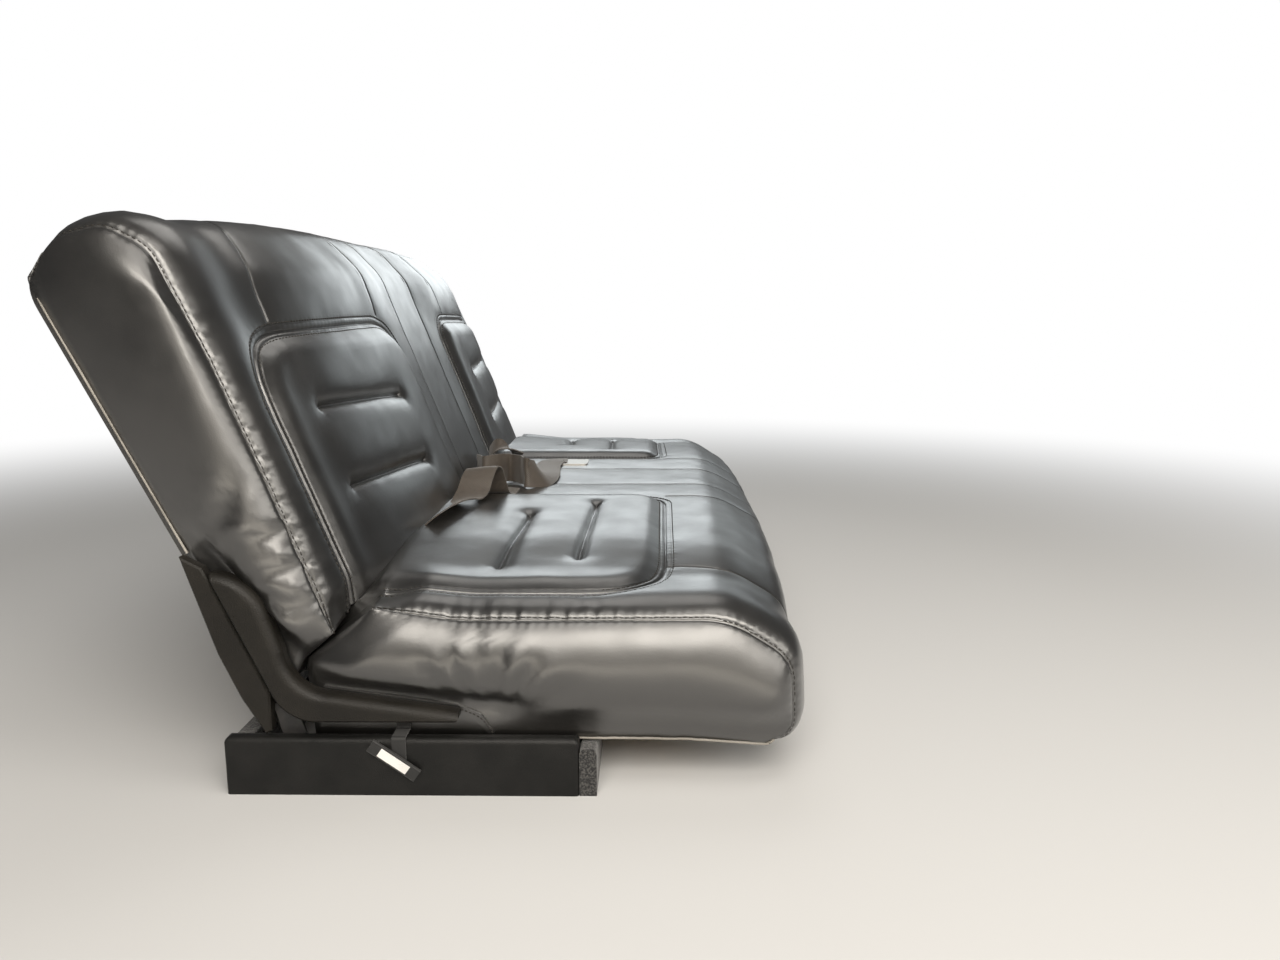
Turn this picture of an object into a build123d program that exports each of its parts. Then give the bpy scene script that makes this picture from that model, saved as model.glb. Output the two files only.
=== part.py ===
from build123d import *
import math
import os

# Limousine bench seat: a padded cushion and backrest on a low box base, facing -Y.
# Millimetres, +Z up, origin on the floor in the middle of the four floor bolts.
# "left" is the side at -X, as seen by someone who stands in front of the seat.

# Overall sizes
seat_width = 1360.0            # leather to leather, across the seat
skin_gap = 0.3                 # between a piece and the piece that carries it
board_gap = 2.0                # between a moving leg and the base's side board

# Base boards
base_front_y = -185.0
base_rear_y = 196.0
side_board_height = 65.0
side_board_thickness = 18.0
side_board_round = 7.0
riser_thickness = 19.0
riser_front_height = 52.0
riser_rear_height = 54.0
bearer_thickness = 18.0
bearer_x = 400.0
carpet_round = 5.0

# Floor brackets
bolt_inset = 31.3              # from the side board's inner face to the bolt
bolt_y = 155.0
bolt_hole_radius = 4.5
bracket_steel = 5.0
bracket_width = 32.0
bracket_height = 34.0
bracket_reach = 56.0

# Cushion: heights and depths in the middle of the seat and at its side seams
cushion_bottom_z = 56.0
cushion_top_z = 230.0
cushion_side_top_z = 187.0
cushion_front_y = -440.0
cushion_side_front_y = -413.0
cushion_nose_rise = 39.0       # from the underside to the corner under the nose
cushion_nose_inset = 38.0
cushion_shoulder = 41.0        # height of the rolled top edge
cushion_roll = 76.0            # depth of the rolled top edge
cushion_edge_radius = 55.0
cushion_side_edge_radius = 44.0
cushion_front_radius = 120.0   # between the top and the rolled edge
cushion_rear_bottom_y = 104.0
deck_thickness = 12.0
deck_front_inset = 75.0
deck_rear_inset = 20.0
deck_inset = 34.0              # from the side of the cushion

# Crease between cushion and backrest
crease_top_y = 44.0
crease_bottom_y = 110.0
crease_bottom_z = 142.0

# Backrest: the front face in the middle, and how far its side seams lie behind it
back_front_lean = 0.394        # y gained for each mm of height on the front face
back_side_setback = 52.0
back_top_z = 608.0
back_side_top_z = 598.0
back_roll_height = 66.0        # height of the rolled top edge
back_roll_depth = 68.0
back_crown_depth = 100.0       # flat part of the top, from front to rear
back_side_crown_depth = 58.0
back_face_radii = (100.0, 150.0)    # at the side seam and in the middle
back_top_radii = (50.0, 80.0)
back_rear_radii = (30.0, 45.0)
back_rear_drop = 62.0          # from the top down to the rear panel's board
back_bottom_z = 118.0
back_heel = 15.0
panel_y = 237.0                # the rear panel's outer face at panel_z
panel_z = 256.0
panel_lean = 0.4925
panel_thickness = 8.0
panel_bottom_z = 98.0
panel_top_drop = 52.0          # from the backrest's top down to the panel's top edge
panel_inset = 6.0
panel_corner = 45.0

# How each body swells from a side seam towards the middle, up to the centre panel
CUSHION_CROWN = (
    # share of half the width from the side seam, share of the reach forward, share of the height
    (0.0, 0.0, 0.0),
    (0.08, 0.23, 0.24),
    (0.19, 0.50, 0.57),
    (0.295, 0.62, 0.82),
    (0.405, 0.72, 0.93),
    (0.59, 0.83, 1.0),
    (0.88, 1.0, 1.0),
)
BACKREST_CROWN = (
    # share of half the width from the side seam, share of the reach forward, share of the height
    (0.0, 0.0, 0.0),
    (0.09, 0.24, 0.28),
    (0.205, 0.74, 0.60),
    (0.405, 1.12, 0.90),
    (0.735, 1.20, 1.0),
    (0.825, 1.08, 1.0),
    (0.90, 1.0, 1.0),
)

# Sewn inserts, one for each seat, raised from the leather round them
insert_rise = 8.0
insert_channel_width = 13.0
cushion_insert_front_y = -283.0
cushion_insert_outer = 46.0    # from the side seam to the outer border
cushion_insert_inner = 480.0   # from the side seam to the inner border
cushion_insert_radii = (105.0, 50.0)
back_insert_top_z = 500.0
back_insert_outer = 62.0
back_insert_inner = 528.0
back_insert_radii = (60.0, 85.0)
CUSHION_CHANNELS = (
    # y, distance of its near and far end from the side seam
    (-87.0, 122.0, 385.0),
    (-181.0, 146.0, 405.0),
)
BACKREST_CHANNELS = (
    # z, distance of its near and far end from the side seam
    (416.0, 138.0, 405.0),
    (327.0, 136.0, 400.0),
)

# Steel side plates and legs
plate_thickness = 4.0
leg_width = 28.0
leg_top_y = 137.0
leg_top_z = 96.0
leg_bottom_y = 113.0
leg_bottom_z = 12.0
striker_pin_radius = 5.0
striker_pin_z = 20.0
striker_clearance = 0.4
striker_steel = 4.0
striker_inset = 5.0
striker_foot = 34.0
striker_height = 30.0

plate_arm_front_y = -30.0
plate_arm_front_z = 91.0
plate_arm_rear_y = 84.0
plate_arm_rear_z = 98.0
arm_bottom_z = 86.5
PLATE_UPRIGHT = (
    # y, z
    (121.0, 122.0),
    (136.0, 163.0),
    (168.0, 224.0),
    (186.0, 224.0),
    (136.0, 112.0),
    (120.0, 86.5),
)

# Moulded side shields: J-shaped side view
shield_tip_y = 202.0
shield_tip_z = 246.0
shield_neck_y = 141.0
shield_neck_z = 195.0
shield_bend_y = 129.0
shield_bend_z = 160.0
shield_arm_rear_y = 80.0
shield_arm_rear_z = 112.0
shield_arm_front_y = -54.0
shield_arm_front_z = 93.0
shield_arm_drop = 10.5
shield_heel_y = 98.0
shield_heel_z = 82.0
shield_heel_end_y = 140.0
shield_heel_end_z = 110.0
shield_tip_bulge = 13.5
shield_bend_bulge = -13.0
shield_heel_bulge = 6.5
shield_depth = 19.4
shield_wall = 3.0
shield_front_round = 11.0
shield_rim_chamfer = 2.5
boss_radius = 5.0
boss_sides = 8
boss_hole_radius = 1.8
shield_rib_thickness = 2.0
shield_rib_depth = 8.0
rear_shield_depth = 13.0
rear_shield_wall = 2.5
rear_shield_chamfer = 2.0
SHIELD_RIBS = (-20.0, 60.0, 120.0)     # y
SHIELD_BOSSES = (
    # y, z
    (150.0, 165.0),
    (20.0, 91.0),
)
REAR_SHIELD = (
    # y and z from the shield's tip
    (6.0, 4.0),
    (29.0, 16.0),
    (-4.0, -90.0),
    (-26.0, -140.0),
    (-50.0, -180.0),
    (-56.0, -176.0),
    (-57.0, -134.0),
)

# Leather hem strip above the shield's arm, with its curled front end
hem_thickness = 3.0
HEM_OUTLINE = (
    # y, z
    (92.0, 106.0),
    (92.0, 115.0),
    (30.0, 107.0),
    (-52.0, 95.0),
    (-78.0, 84.0),
    (-92.0, 62.0),
    (-85.0, 62.0),
    (-74.0, 74.0),
    (-50.0, 92.0),
    (84.0, 99.0),
)

# Lap belts
webbing_width = 47.0
webbing_thickness = 1.8
webbing_bend = 9.0
belt_near_y = -6.0             # middle of the near belt, which lies along the crease
belt_far_y = -35.0
belt_far_x = 140.0             # middle of the far belt's end with the tongue
NEAR_BELT = (
    # x, height over the insert
    (-302.0, 0.0),
    (-284.0, 0.0),
    (-262.0, 38.0),
    (-238.0, 38.0),
    (-218.0, 0.0),
    (-203.0, 0.0),
)
FAR_BELT_SLACK = (
    # x, height over the cushion
    (-190.0, 0.0),
    (-160.0, 0.0),
    (-130.0, 27.0),
    (130.0, 27.0),
)
FAR_BELT_END = (
    # y, height over the cushion
    (30.0, 1.0),
    (22.0, 27.0),
    (-60.0, 27.0),
    (-74.0, 0.0),
    (-88.0, 0.0),
)
tongue_thickness = 2.4
tongue_width = 58.0
tongue_length = 52.0
tongue_round = 7.0
tongue_y = -116.0

# Release strap
strap_width = 15.0
strap_thickness = 1.6
strap_y = 7.0
strap_bend = 3.0
handle_length = 60.0
handle_thickness = 4.0
handle_turn = 35.5
handle_y = 12.0
handle_z = 42.5
tag_length = 36.0
tag_width = 10.0
tag_thickness = 0.6

# Worked out from the sizes above
half_width = seat_width / 2
plate_inner_x = half_width + skin_gap
plate_outer_x = plate_inner_x + plate_thickness
shield_inner_x = plate_outer_x + skin_gap
shield_outer_x = shield_inner_x + shield_depth
board_inner_x = plate_outer_x + board_gap
board_outer_x = board_inner_x + side_board_thickness
bearer_top_z = cushion_bottom_z - skin_gap
back_front_y = crease_top_y + 2 * skin_gap
deck_front_y = cushion_front_y + deck_front_inset
deck_rear_y = cushion_rear_bottom_y - deck_rear_inset
panel_top_z = back_top_z - panel_top_drop
bolt_x = board_inner_x - bolt_inset

SIDES = (("left", -1), ("right", 1))


def outline(*edges):
    """A face in the Y-Z plane from edges drawn as (y, z)."""
    return Plane.YZ * make_face(Wire(edges))


def polygon(points):
    """A closed straight-sided face in the Y-Z plane from (y, z) points."""
    return Plane.YZ * make_face(Polyline(*points, close=True))


def slab(face, x_low, x_high):
    """A Y-Z face drawn out from x_low to x_high."""
    return Pos(x_low, 0, 0) * extrude(face, amount=x_high - x_low, dir=(1, 0, 0))


def block(x_low, x_high, y_low, y_high, z_low, z_high):
    """A box from its six faces."""
    centre = Pos((x_low + x_high) / 2, (y_low + y_high) / 2, (z_low + z_high) / 2)
    return centre * Box(x_high - x_low, y_high - y_low, z_high - z_low)


def on_side(shape, sign):
    """Shapes are drawn for the right side, at +X, and mirrored for the left."""
    if sign > 0:
        return shape
    return mirror(shape, about=Plane.YZ)


def front_face_y(z):
    """Front of the backrest in the middle of the seat."""
    return back_front_y + back_front_lean * (z - cushion_top_z)


def panel_face_y(z):
    """Outer face of the rear panel."""
    return panel_y + panel_lean * (z - panel_z)


def panel_shift():
    """Distance along Y from the panel's outer face to the backrest's own rear."""
    return (panel_thickness + skin_gap) * math.hypot(1, panel_lean)


def leg_y(z):
    """Middle of the slanted leg at a height."""
    return leg_bottom_y + (leg_top_y - leg_bottom_y) * (z - leg_bottom_z) / (leg_top_z - leg_bottom_z)


# Base

def side_board():
    board = block(board_inner_x, board_outer_x, base_front_y, base_rear_y, 0, side_board_height)
    outer_ends = board.edges().filter_by(Axis.Z).group_by(Axis.X)[-1]
    board = fillet(outer_ends, side_board_round / 2)
    top = board.faces().sort_by(Axis.Z)[-1]
    return fillet(top.edges(), side_board_round)


def riser_front():
    board = block(-board_outer_x + 1, board_outer_x - 1,
                  base_front_y - riser_thickness, base_front_y - skin_gap, 0, riser_front_height)
    return fillet(board.faces().sort_by(Axis.Z)[-1].edges(), carpet_round)


def riser_rear():
    return block(-board_inner_x + skin_gap, board_inner_x - skin_gap,
                 base_rear_y - riser_thickness, base_rear_y, 0, riser_rear_height)


def bearer():
    return block(bearer_x - bearer_thickness / 2, bearer_x + bearer_thickness / 2,
                 base_front_y, base_rear_y - riser_thickness - skin_gap, 0, bearer_top_z)


def floor_bracket(y):
    """Steel angle: a foot with a bolt hole and an upright against the side board."""
    outer_x = board_inner_x - skin_gap
    low, high = y - bracket_width / 2, y + bracket_width / 2
    foot = block(outer_x - bracket_reach, outer_x, low, high, 0, bracket_steel)
    upright = block(outer_x - bracket_steel, outer_x, low, high, 0, bracket_height)
    angle = foot + upright
    hole = Pos(bolt_x, y, bracket_steel / 2) * Cylinder(bolt_hole_radius, 4 * bracket_steel)
    return angle - hole


def leg_striker():
    """Floor bracket with the cross pin that the leg's fork drops over."""
    upright_outer = plate_inner_x - striker_inset
    upright_inner = upright_outer - striker_steel
    pin_y = leg_y(striker_pin_z)
    half = leg_width / 2 + 4
    upright = block(upright_inner, upright_outer, pin_y - half, pin_y + half, 0, striker_height)
    upright = fillet(upright.edges().filter_by(Axis.X).group_by(Axis.Z)[-1], 10)
    foot = block(upright_outer - striker_foot, upright_outer, pin_y - half, pin_y + half, 0, striker_steel)
    pin_end = board_inner_x - skin_gap
    pin = Cylinder(striker_pin_radius, pin_end - upright_inner, rotation=(0, 90, 0))
    pin = Pos((pin_end + upright_inner) / 2, pin_y, striker_pin_z) * pin
    return upright + foot + pin


# Upholstery

def rounded_outline(corners):
    """A wire in the Y-Z plane from rows of (y, z, corner radius); radius 0 leaves it sharp."""
    face = make_face(Polyline(*[(y, z) for y, z, _ in corners], close=True))
    for y, z, radius in corners:
        if radius:
            corner = face.vertices().sort_by_distance((y, z, 0))[0]
            face = fillet(corner, radius)
    return Plane.YZ * face


def crowned(crown, corners_at):
    """Soft body lofted from one side seam over the crown to the other."""
    stations = [(half_width * (share - 1), reach, height) for share, reach, height in crown]
    stations += [(-x, reach, height) for x, reach, height in reversed(stations)]
    sections = [Pos(x, 0, 0) * rounded_outline(corners_at(reach, height)) for x, reach, height in stations]
    return loft(sections, ruled=True)


def between(low, high, share):
    """Value at a share of the way from a side seam's size to the middle's."""
    return low + (high - low) * share


def insert_prism(plane, end, outer, inner, radii, channels, low, high, sign):
    """Insert's outline, open towards the crease, with slots for its sewn channels."""
    near, far = outer - half_width, inner - half_width
    start = crease_bottom_y if plane is Plane.XY else back_bottom_z
    face = make_face(Polyline((near, start), (near, end), (far, end), (far, start), close=True))
    for x, radius in ((near, radii[0]), (far, radii[1])):
        corner = face.vertices().sort_by_distance((x, end, 0))[0]
        face = fillet(corner, radius)
    for place, channel_near, channel_far in channels:
        length = channel_far - channel_near
        middle = (channel_near + channel_far) / 2 - half_width
        face = face - Pos(middle, place) * Rectangle(length, insert_channel_width)
    prism = extrude(plane * face, amount=high - low, dir=plane.z_dir)
    return on_side(prism.moved(Location(plane.z_dir * low)), -sign)


def with_inserts(body, raised, prisms):
    """Adds to a body the parts of its raised twin that lie within the inserts."""
    for prism in prisms:
        body = body + (raised & prism)
    return body


def crease_y(z):
    """Rear of the cushion along the crease."""
    slope = (crease_bottom_y - crease_top_y) / (cushion_top_z - crease_bottom_z)
    return crease_top_y + slope * (cushion_top_z - z)


def cushion_corners(reach, height, rise=0.0):
    """Section of the cushion: rolled front, flat top, rear that slopes down under the backrest."""
    top = between(cushion_side_top_z, cushion_top_z, height) + rise
    front = between(cushion_side_front_y, cushion_front_y, reach)
    edge_radius = between(cushion_side_edge_radius, cushion_edge_radius, reach)
    return [
        # y, z, corner radius
        (front + cushion_nose_inset, cushion_bottom_z, 0),
        (front - 5, cushion_bottom_z + cushion_nose_rise, edge_radius),
        (front + 3, top - cushion_shoulder, edge_radius),
        (front + cushion_roll, top, cushion_front_radius),
        (crease_y(top), top, 0),
        (crease_bottom_y, crease_bottom_z, 0),
        (cushion_rear_bottom_y, cushion_bottom_z, 0)]


def cushion():
    body = crowned(CUSHION_CROWN, cushion_corners)
    raised = crowned(CUSHION_CROWN, lambda reach, height: cushion_corners(reach, height, insert_rise))
    prisms = [insert_prism(Plane.XY, cushion_insert_front_y, cushion_insert_outer, cushion_insert_inner,
                           cushion_insert_radii, CUSHION_CHANNELS, crease_bottom_z,
                           cushion_top_z + 2 * insert_rise, sign)
              for _, sign in SIDES]
    body = with_inserts(body, raised, prisms)
    pocket = block(-half_width + deck_inset - skin_gap, half_width - deck_inset + skin_gap,
                   deck_front_y - skin_gap, deck_rear_y + skin_gap,
                   cushion_bottom_z - 1, cushion_bottom_z + deck_thickness + skin_gap)
    return body - pocket


def seat_deck():
    board = block(-half_width + deck_inset, half_width - deck_inset,
                  deck_front_y, deck_rear_y, cushion_bottom_z, cushion_bottom_z + deck_thickness)
    return fillet(board.edges().filter_by(Axis.Z), 20)


def backrest_corners(reach, height, rise=0.0):
    """Section of the backrest: leaning face, rolled top and a straight rear for the panel."""
    setback = between(back_side_setback, 0.0, reach) - rise
    top = between(back_side_top_z, back_top_z, height)
    crown_depth = between(back_side_crown_depth, back_crown_depth, height)
    drop = setback / (back_front_lean + (crease_y(0) - crease_y(1)))
    start_z = cushion_top_z - drop
    roll_z = top - back_roll_height
    front = front_face_y(roll_z) + setback
    rear_top_z = back_top_z - back_rear_drop
    return [
        # y, z, corner radius
        (crease_y(start_z) + 2 * skin_gap, start_z, 0),
        (front, roll_z, between(*back_face_radii, height)),
        (front + back_roll_depth, top, between(*back_top_radii, height)),
        (front + back_roll_depth + crown_depth, top - 3, between(*back_rear_radii, height)),
        (panel_face_y(rear_top_z) - panel_shift(), rear_top_z, 0),
        (panel_face_y(back_bottom_z) - panel_shift(), back_bottom_z, 0),
        (crease_bottom_y + back_heel, back_bottom_z, 0),
        (crease_bottom_y + 2 * skin_gap, crease_bottom_z, 0)]


def backrest():
    body = crowned(BACKREST_CROWN, backrest_corners)
    rise = insert_rise * math.hypot(1, back_front_lean)
    raised = crowned(BACKREST_CROWN, lambda reach, height: backrest_corners(reach, height, rise))
    rear_y = panel_face_y(back_bottom_z) - 2 * panel_shift()
    front_y = front_face_y(cushion_top_z) - back_side_setback
    prisms = [insert_prism(Plane.XZ, back_insert_top_z, back_insert_outer, back_insert_inner,
                           back_insert_radii, BACKREST_CHANNELS, -rear_y, -front_y, sign)
              for _, sign in SIDES]
    return with_inserts(body, raised, prisms)


def rear_panel():
    """Covered board over the backrest's rear, with rounded top corners."""
    slope = math.hypot(1, panel_lean)
    length = (panel_top_z - panel_bottom_z) * slope
    middle = (panel_top_z + panel_bottom_z) / 2
    face = Rectangle(2 * (half_width - panel_inset), length)
    face = fillet(face.vertices().group_by(Axis.Y)[-1], panel_corner)
    on_rear = Plane(origin=(0, panel_face_y(middle), middle), x_dir=(-1, 0, 0), z_dir=(0, 1, -panel_lean))
    return extrude(on_rear * face, amount=-panel_thickness)


# Steel plates, legs and shields

def shield_outline():
    """J-shaped side view of the moulded shield, from the backrest to the cushion's underside."""
    tip = (shield_tip_y, shield_tip_z)
    neck = (shield_neck_y, shield_neck_z)
    bend = (shield_bend_y, shield_bend_z)
    arm_rear = (shield_arm_rear_y, shield_arm_rear_z)
    arm_top = (shield_arm_front_y, shield_arm_front_z)
    arm_bottom = (shield_arm_front_y + 2, shield_arm_front_z - shield_arm_drop)
    heel = (shield_heel_y, shield_heel_z)
    heel_end = (shield_heel_end_y, shield_heel_end_z)
    return outline(
        ThreePointArc(tip, bulged(tip, neck, shield_tip_bulge), neck),
        Line(neck, bend),
        ThreePointArc(bend, bulged(bend, arm_rear, shield_bend_bulge), arm_rear),
        Line(arm_rear, arm_top),
        ThreePointArc(arm_top, bulged(arm_top, arm_bottom, shield_arm_drop / 3), arm_bottom),
        Line(arm_bottom, heel),
        ThreePointArc(heel, bulged(heel, heel_end, shield_heel_bulge), heel_end),
        Line(heel_end, tip))


def bulged(start, end, bulge):
    """Middle of an arc from start to end that stands off its chord, to the right of its run."""
    along = Vector(*end) - Vector(*start)
    middle = (Vector(*start) + Vector(*end)) / 2
    across = Vector(along.Y, -along.X) / along.length
    place = middle + across * bulge
    return place.X, place.Y


def rim_edges(body, runs):
    """Edges round the outer face, one for each pair of (y, z) ends."""
    edges = body.edges()
    picked = ShapeList()
    for start, end in runs:
        middle = Vector(shield_outer_x, (start[0] + end[0]) / 2, (start[1] + end[1]) / 2)
        picked.append(edges.sort_by_distance(middle)[0])
    return picked


def side_shield():
    """Hollow moulding with a rolled front edge, two screw bosses and two cross ribs."""
    face = shield_outline()
    body = slab(face, shield_inner_x, shield_outer_x)
    tip, neck = (shield_tip_y, shield_tip_z), (shield_neck_y, shield_neck_z)
    bend, arm_rear = (shield_bend_y, shield_bend_z), (shield_arm_rear_y, shield_arm_rear_z)
    arm_top = (shield_arm_front_y, shield_arm_front_z)
    heel, heel_end = (shield_heel_y, shield_heel_z), (shield_heel_end_y, shield_heel_end_z)
    front_runs = ((tip, neck), (neck, bend), (bend, arm_rear))
    body = fillet(rim_edges(body, front_runs), shield_front_round)
    body = chamfer(rim_edges(body, ((arm_rear, arm_top), (heel, heel_end), (heel_end, tip))),
                   shield_rim_chamfer)
    ceiling = shield_outer_x - shield_wall
    cavity = slab(offset(face, amount=-shield_wall), shield_inner_x - 1, ceiling)
    cavity = chamfer(rim_edges(cavity, front_runs), shield_front_round - shield_wall)
    shell = body - cavity
    for y in SHIELD_RIBS:
        rib = block(ceiling - shield_rib_depth, ceiling, y - shield_rib_thickness / 2,
                    y + shield_rib_thickness / 2, shield_heel_z, shield_tip_z)
        shell = shell + (rib & cavity)
    for y, z in SHIELD_BOSSES:
        boss = Pos(y, z) * RegularPolygon(boss_radius, boss_sides) - Pos(y, z) * Circle(boss_hole_radius)
        shell = shell + slab(Plane.YZ * boss, shield_inner_x, ceiling)
    return shell


def rear_shield():
    """Second moulding behind the first, which closes the edge of the rear panel."""
    face = polygon([(shield_tip_y + y, shield_tip_z + z) for y, z in REAR_SHIELD])
    body = slab(face, shield_inner_x, shield_inner_x + rear_shield_depth)
    body = chamfer(body.faces().sort_by(Axis.X)[-1].edges(), rear_shield_chamfer)
    cavity = slab(offset(face, amount=-rear_shield_wall), shield_inner_x - 1,
                  shield_inner_x + rear_shield_depth - rear_shield_wall)
    return body - cavity


def side_plate():
    """Steel plate that joins cushion and backrest, with the leg below it."""
    bracket = polygon(PLATE_UPRIGHT + (
        (plate_arm_front_y, arm_bottom_z), (plate_arm_front_y, plate_arm_front_z),
        (plate_arm_rear_y, plate_arm_rear_z)))
    leg = polygon([(leg_y(leg_bottom_z) - leg_width / 2, leg_bottom_z),
                   (leg_y(leg_bottom_z) + leg_width / 2, leg_bottom_z),
                   (leg_y(leg_top_z) + leg_width / 2 - 4, leg_top_z),
                   (leg_y(leg_top_z) - leg_width / 2, leg_top_z)])
    plate = slab(bracket, plate_inner_x, plate_outer_x) + slab(leg, plate_inner_x, plate_outer_x)
    pin_y = leg_y(striker_pin_z)
    slot_radius = striker_pin_radius + striker_clearance
    eye = Pos((plate_inner_x + plate_outer_x) / 2, pin_y, striker_pin_z)
    eye = eye * Cylinder(slot_radius, 3 * plate_thickness, rotation=(0, 90, 0))
    mouth = block(plate_inner_x - 1, plate_outer_x + 1, pin_y - slot_radius, pin_y + slot_radius,
                  leg_bottom_z - 5, striker_pin_z)
    return plate - eye - mouth


def cushion_hem():
    """Sewn leather strip that shows above the shield's arm."""
    face = polygon(HEM_OUTLINE)
    return slab(face, plate_inner_x, plate_inner_x + hem_thickness)


# Belts and release strap

def webbing(plane, rows, surface_z, middle):
    """Flat strap: a bent line in an upright plane, thickened and as wide as the webbing."""
    lie = surface_z + skin_gap + webbing_thickness / 2
    path = FilletPolyline(*[(place, lie + height) for place, height in rows], radius=webbing_bend)
    face = plane * make_face(offset(path, amount=webbing_thickness / 2, side=Side.BOTH))
    strap = extrude(face, amount=webbing_width / 2, both=True)
    return strap.moved(Location(abs(plane.z_dir.X) * Vector(middle, 0, 0)
                                + abs(plane.z_dir.Y) * Vector(0, middle, 0)))


def near_belt():
    """Looped strap that lies on the near insert along the crease."""
    return webbing(Plane.XZ, NEAR_BELT, cushion_top_z + insert_rise, belt_near_y)


def far_belt():
    """Slack strap along the crease, turned forward at its end towards the tongue."""
    slack = webbing(Plane.XZ, FAR_BELT_SLACK, cushion_top_z, belt_far_y)
    return slack + webbing(Plane.YZ, FAR_BELT_END, cushion_top_z, belt_far_x)


def belt_tongue():
    """Steel tongue that lies flat on the cushion in front of its webbing."""
    plate = Rectangle(tongue_width, tongue_length)
    plate = fillet(plate.vertices(), tongue_round)
    slot = Pos(0, tongue_length / 2 - 8) * SlotOverall(tongue_width - 10, 6)
    tongue = extrude(plate - slot, amount=tongue_thickness)
    return Pos(belt_far_x, tongue_y, cushion_top_z + skin_gap) * tongue


def release_strap():
    """Strap that comes out over the side board and hangs down in front of it."""
    x_root = plate_inner_x + plate_thickness / 2
    x_out = board_outer_x + 1.5
    level = side_board_height + 2.0
    root_z = arm_bottom_z - skin_gap - strap_thickness / 2
    path = FilletPolyline((x_root, root_z), (x_root, level), (x_out, level),
                          (x_out, handle_z), radius=strap_bend)
    face = Plane.XZ * make_face(offset(path, amount=strap_thickness / 2, side=Side.BOTH))
    return Pos(0, strap_y + strap_width / 2, 0) * extrude(face, amount=strap_width, dir=(0, -1, 0))


def release_handle():
    """Flat pull handle, turned on the end of the strap."""
    x = board_outer_x + 1.5 + strap_thickness / 2 + skin_gap + handle_thickness / 2
    pad = Box(handle_thickness, handle_length, strap_width)
    pad = fillet(pad.edges().filter_by(Axis.Y), 1.5)
    return Pos(x, handle_y, handle_z) * Rot(handle_turn, 0, 0) * pad


def release_tag():
    """Blank tag on the handle."""
    x = board_outer_x + 1.5 + strap_thickness / 2 + skin_gap + handle_thickness + tag_thickness / 2
    return Pos(x, handle_y, handle_z) * Rot(handle_turn, 0, 0) * Box(tag_thickness, tag_length, tag_width)


def write(shape, node):
    export_step(shape, f"parts/{node}.step")


if __name__ == "__main__":
    os.makedirs("parts", exist_ok=True)
    for side, sign in SIDES:
        write(on_side(side_board(), sign), f"base_side_board_{side}")
        write(on_side(bearer(), sign), f"riser_bearer_{side}")
        for place, y in (("front", -bolt_y), ("rear", bolt_y)):
            write(on_side(floor_bracket(y), sign), f"floor_bracket_{place}_{side}")
        write(on_side(leg_striker(), sign), f"leg_striker_{side}")
        write(on_side(side_plate(), sign), f"side_plate_{side}")
        write(on_side(side_shield(), sign), f"side_shield_{side}")
        write(on_side(rear_shield(), sign), f"rear_shield_{side}")
        write(on_side(cushion_hem(), sign), f"cushion_hem_{side}")
    write(riser_front(), "riser_front_board")
    write(riser_rear(), "riser_rear_board")
    write(cushion(), "cushion")
    write(seat_deck(), "seat_deck")
    write(backrest(), "backrest")
    write(rear_panel(), "rear_panel")
    write(near_belt(), "belt_webbing_near")
    write(far_belt(), "belt_webbing_far")
    write(belt_tongue(), "belt_tongue_far")
    write(on_side(release_strap(), -1), "release_strap")
    write(on_side(release_handle(), -1), "release_handle")
    write(on_side(release_tag(), -1), "release_tag")
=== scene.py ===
"""Looks of a limousine bench seat: padded black leather on a low box base.

Metres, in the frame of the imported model: +Z up, the seat faces -Y, "left" is -X.
"""

import logging
import math
from collections.abc import Iterable, Sequence
from dataclasses import dataclass, field
from enum import Enum
from typing import ClassVar

import bmesh
import bpy
import numpy as np
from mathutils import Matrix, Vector, noise
from mathutils.bvhtree import BVHTree
from mathutils.kdtree import KDTree


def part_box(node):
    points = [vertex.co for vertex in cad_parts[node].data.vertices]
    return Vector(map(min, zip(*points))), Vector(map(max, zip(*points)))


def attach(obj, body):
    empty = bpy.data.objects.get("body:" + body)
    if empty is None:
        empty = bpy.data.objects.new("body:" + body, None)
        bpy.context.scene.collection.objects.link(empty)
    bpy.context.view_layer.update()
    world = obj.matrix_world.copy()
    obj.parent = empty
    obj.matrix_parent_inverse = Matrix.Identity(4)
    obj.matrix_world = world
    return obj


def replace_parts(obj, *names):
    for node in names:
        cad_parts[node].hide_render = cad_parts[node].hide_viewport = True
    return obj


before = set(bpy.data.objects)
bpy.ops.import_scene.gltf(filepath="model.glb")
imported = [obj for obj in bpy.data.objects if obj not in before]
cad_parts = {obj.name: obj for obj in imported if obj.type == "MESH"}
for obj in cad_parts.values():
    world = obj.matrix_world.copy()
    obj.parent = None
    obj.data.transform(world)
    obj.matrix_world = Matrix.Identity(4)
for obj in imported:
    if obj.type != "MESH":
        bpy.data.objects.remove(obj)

log = logging.getLogger("bench_seat")

Socket = bpy.types.NodeSocket
Rows = Sequence[tuple[float, ...]]
Point = tuple[float, float, float]
Colour = tuple[float, float, float]

SIGNS = (-1, 1)      # left and right
TINY = 1e-6
SEED_STEP = (17.3, -9.1, 5.7)      # shift of the noise from one seed to the next


# Node trees

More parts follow.
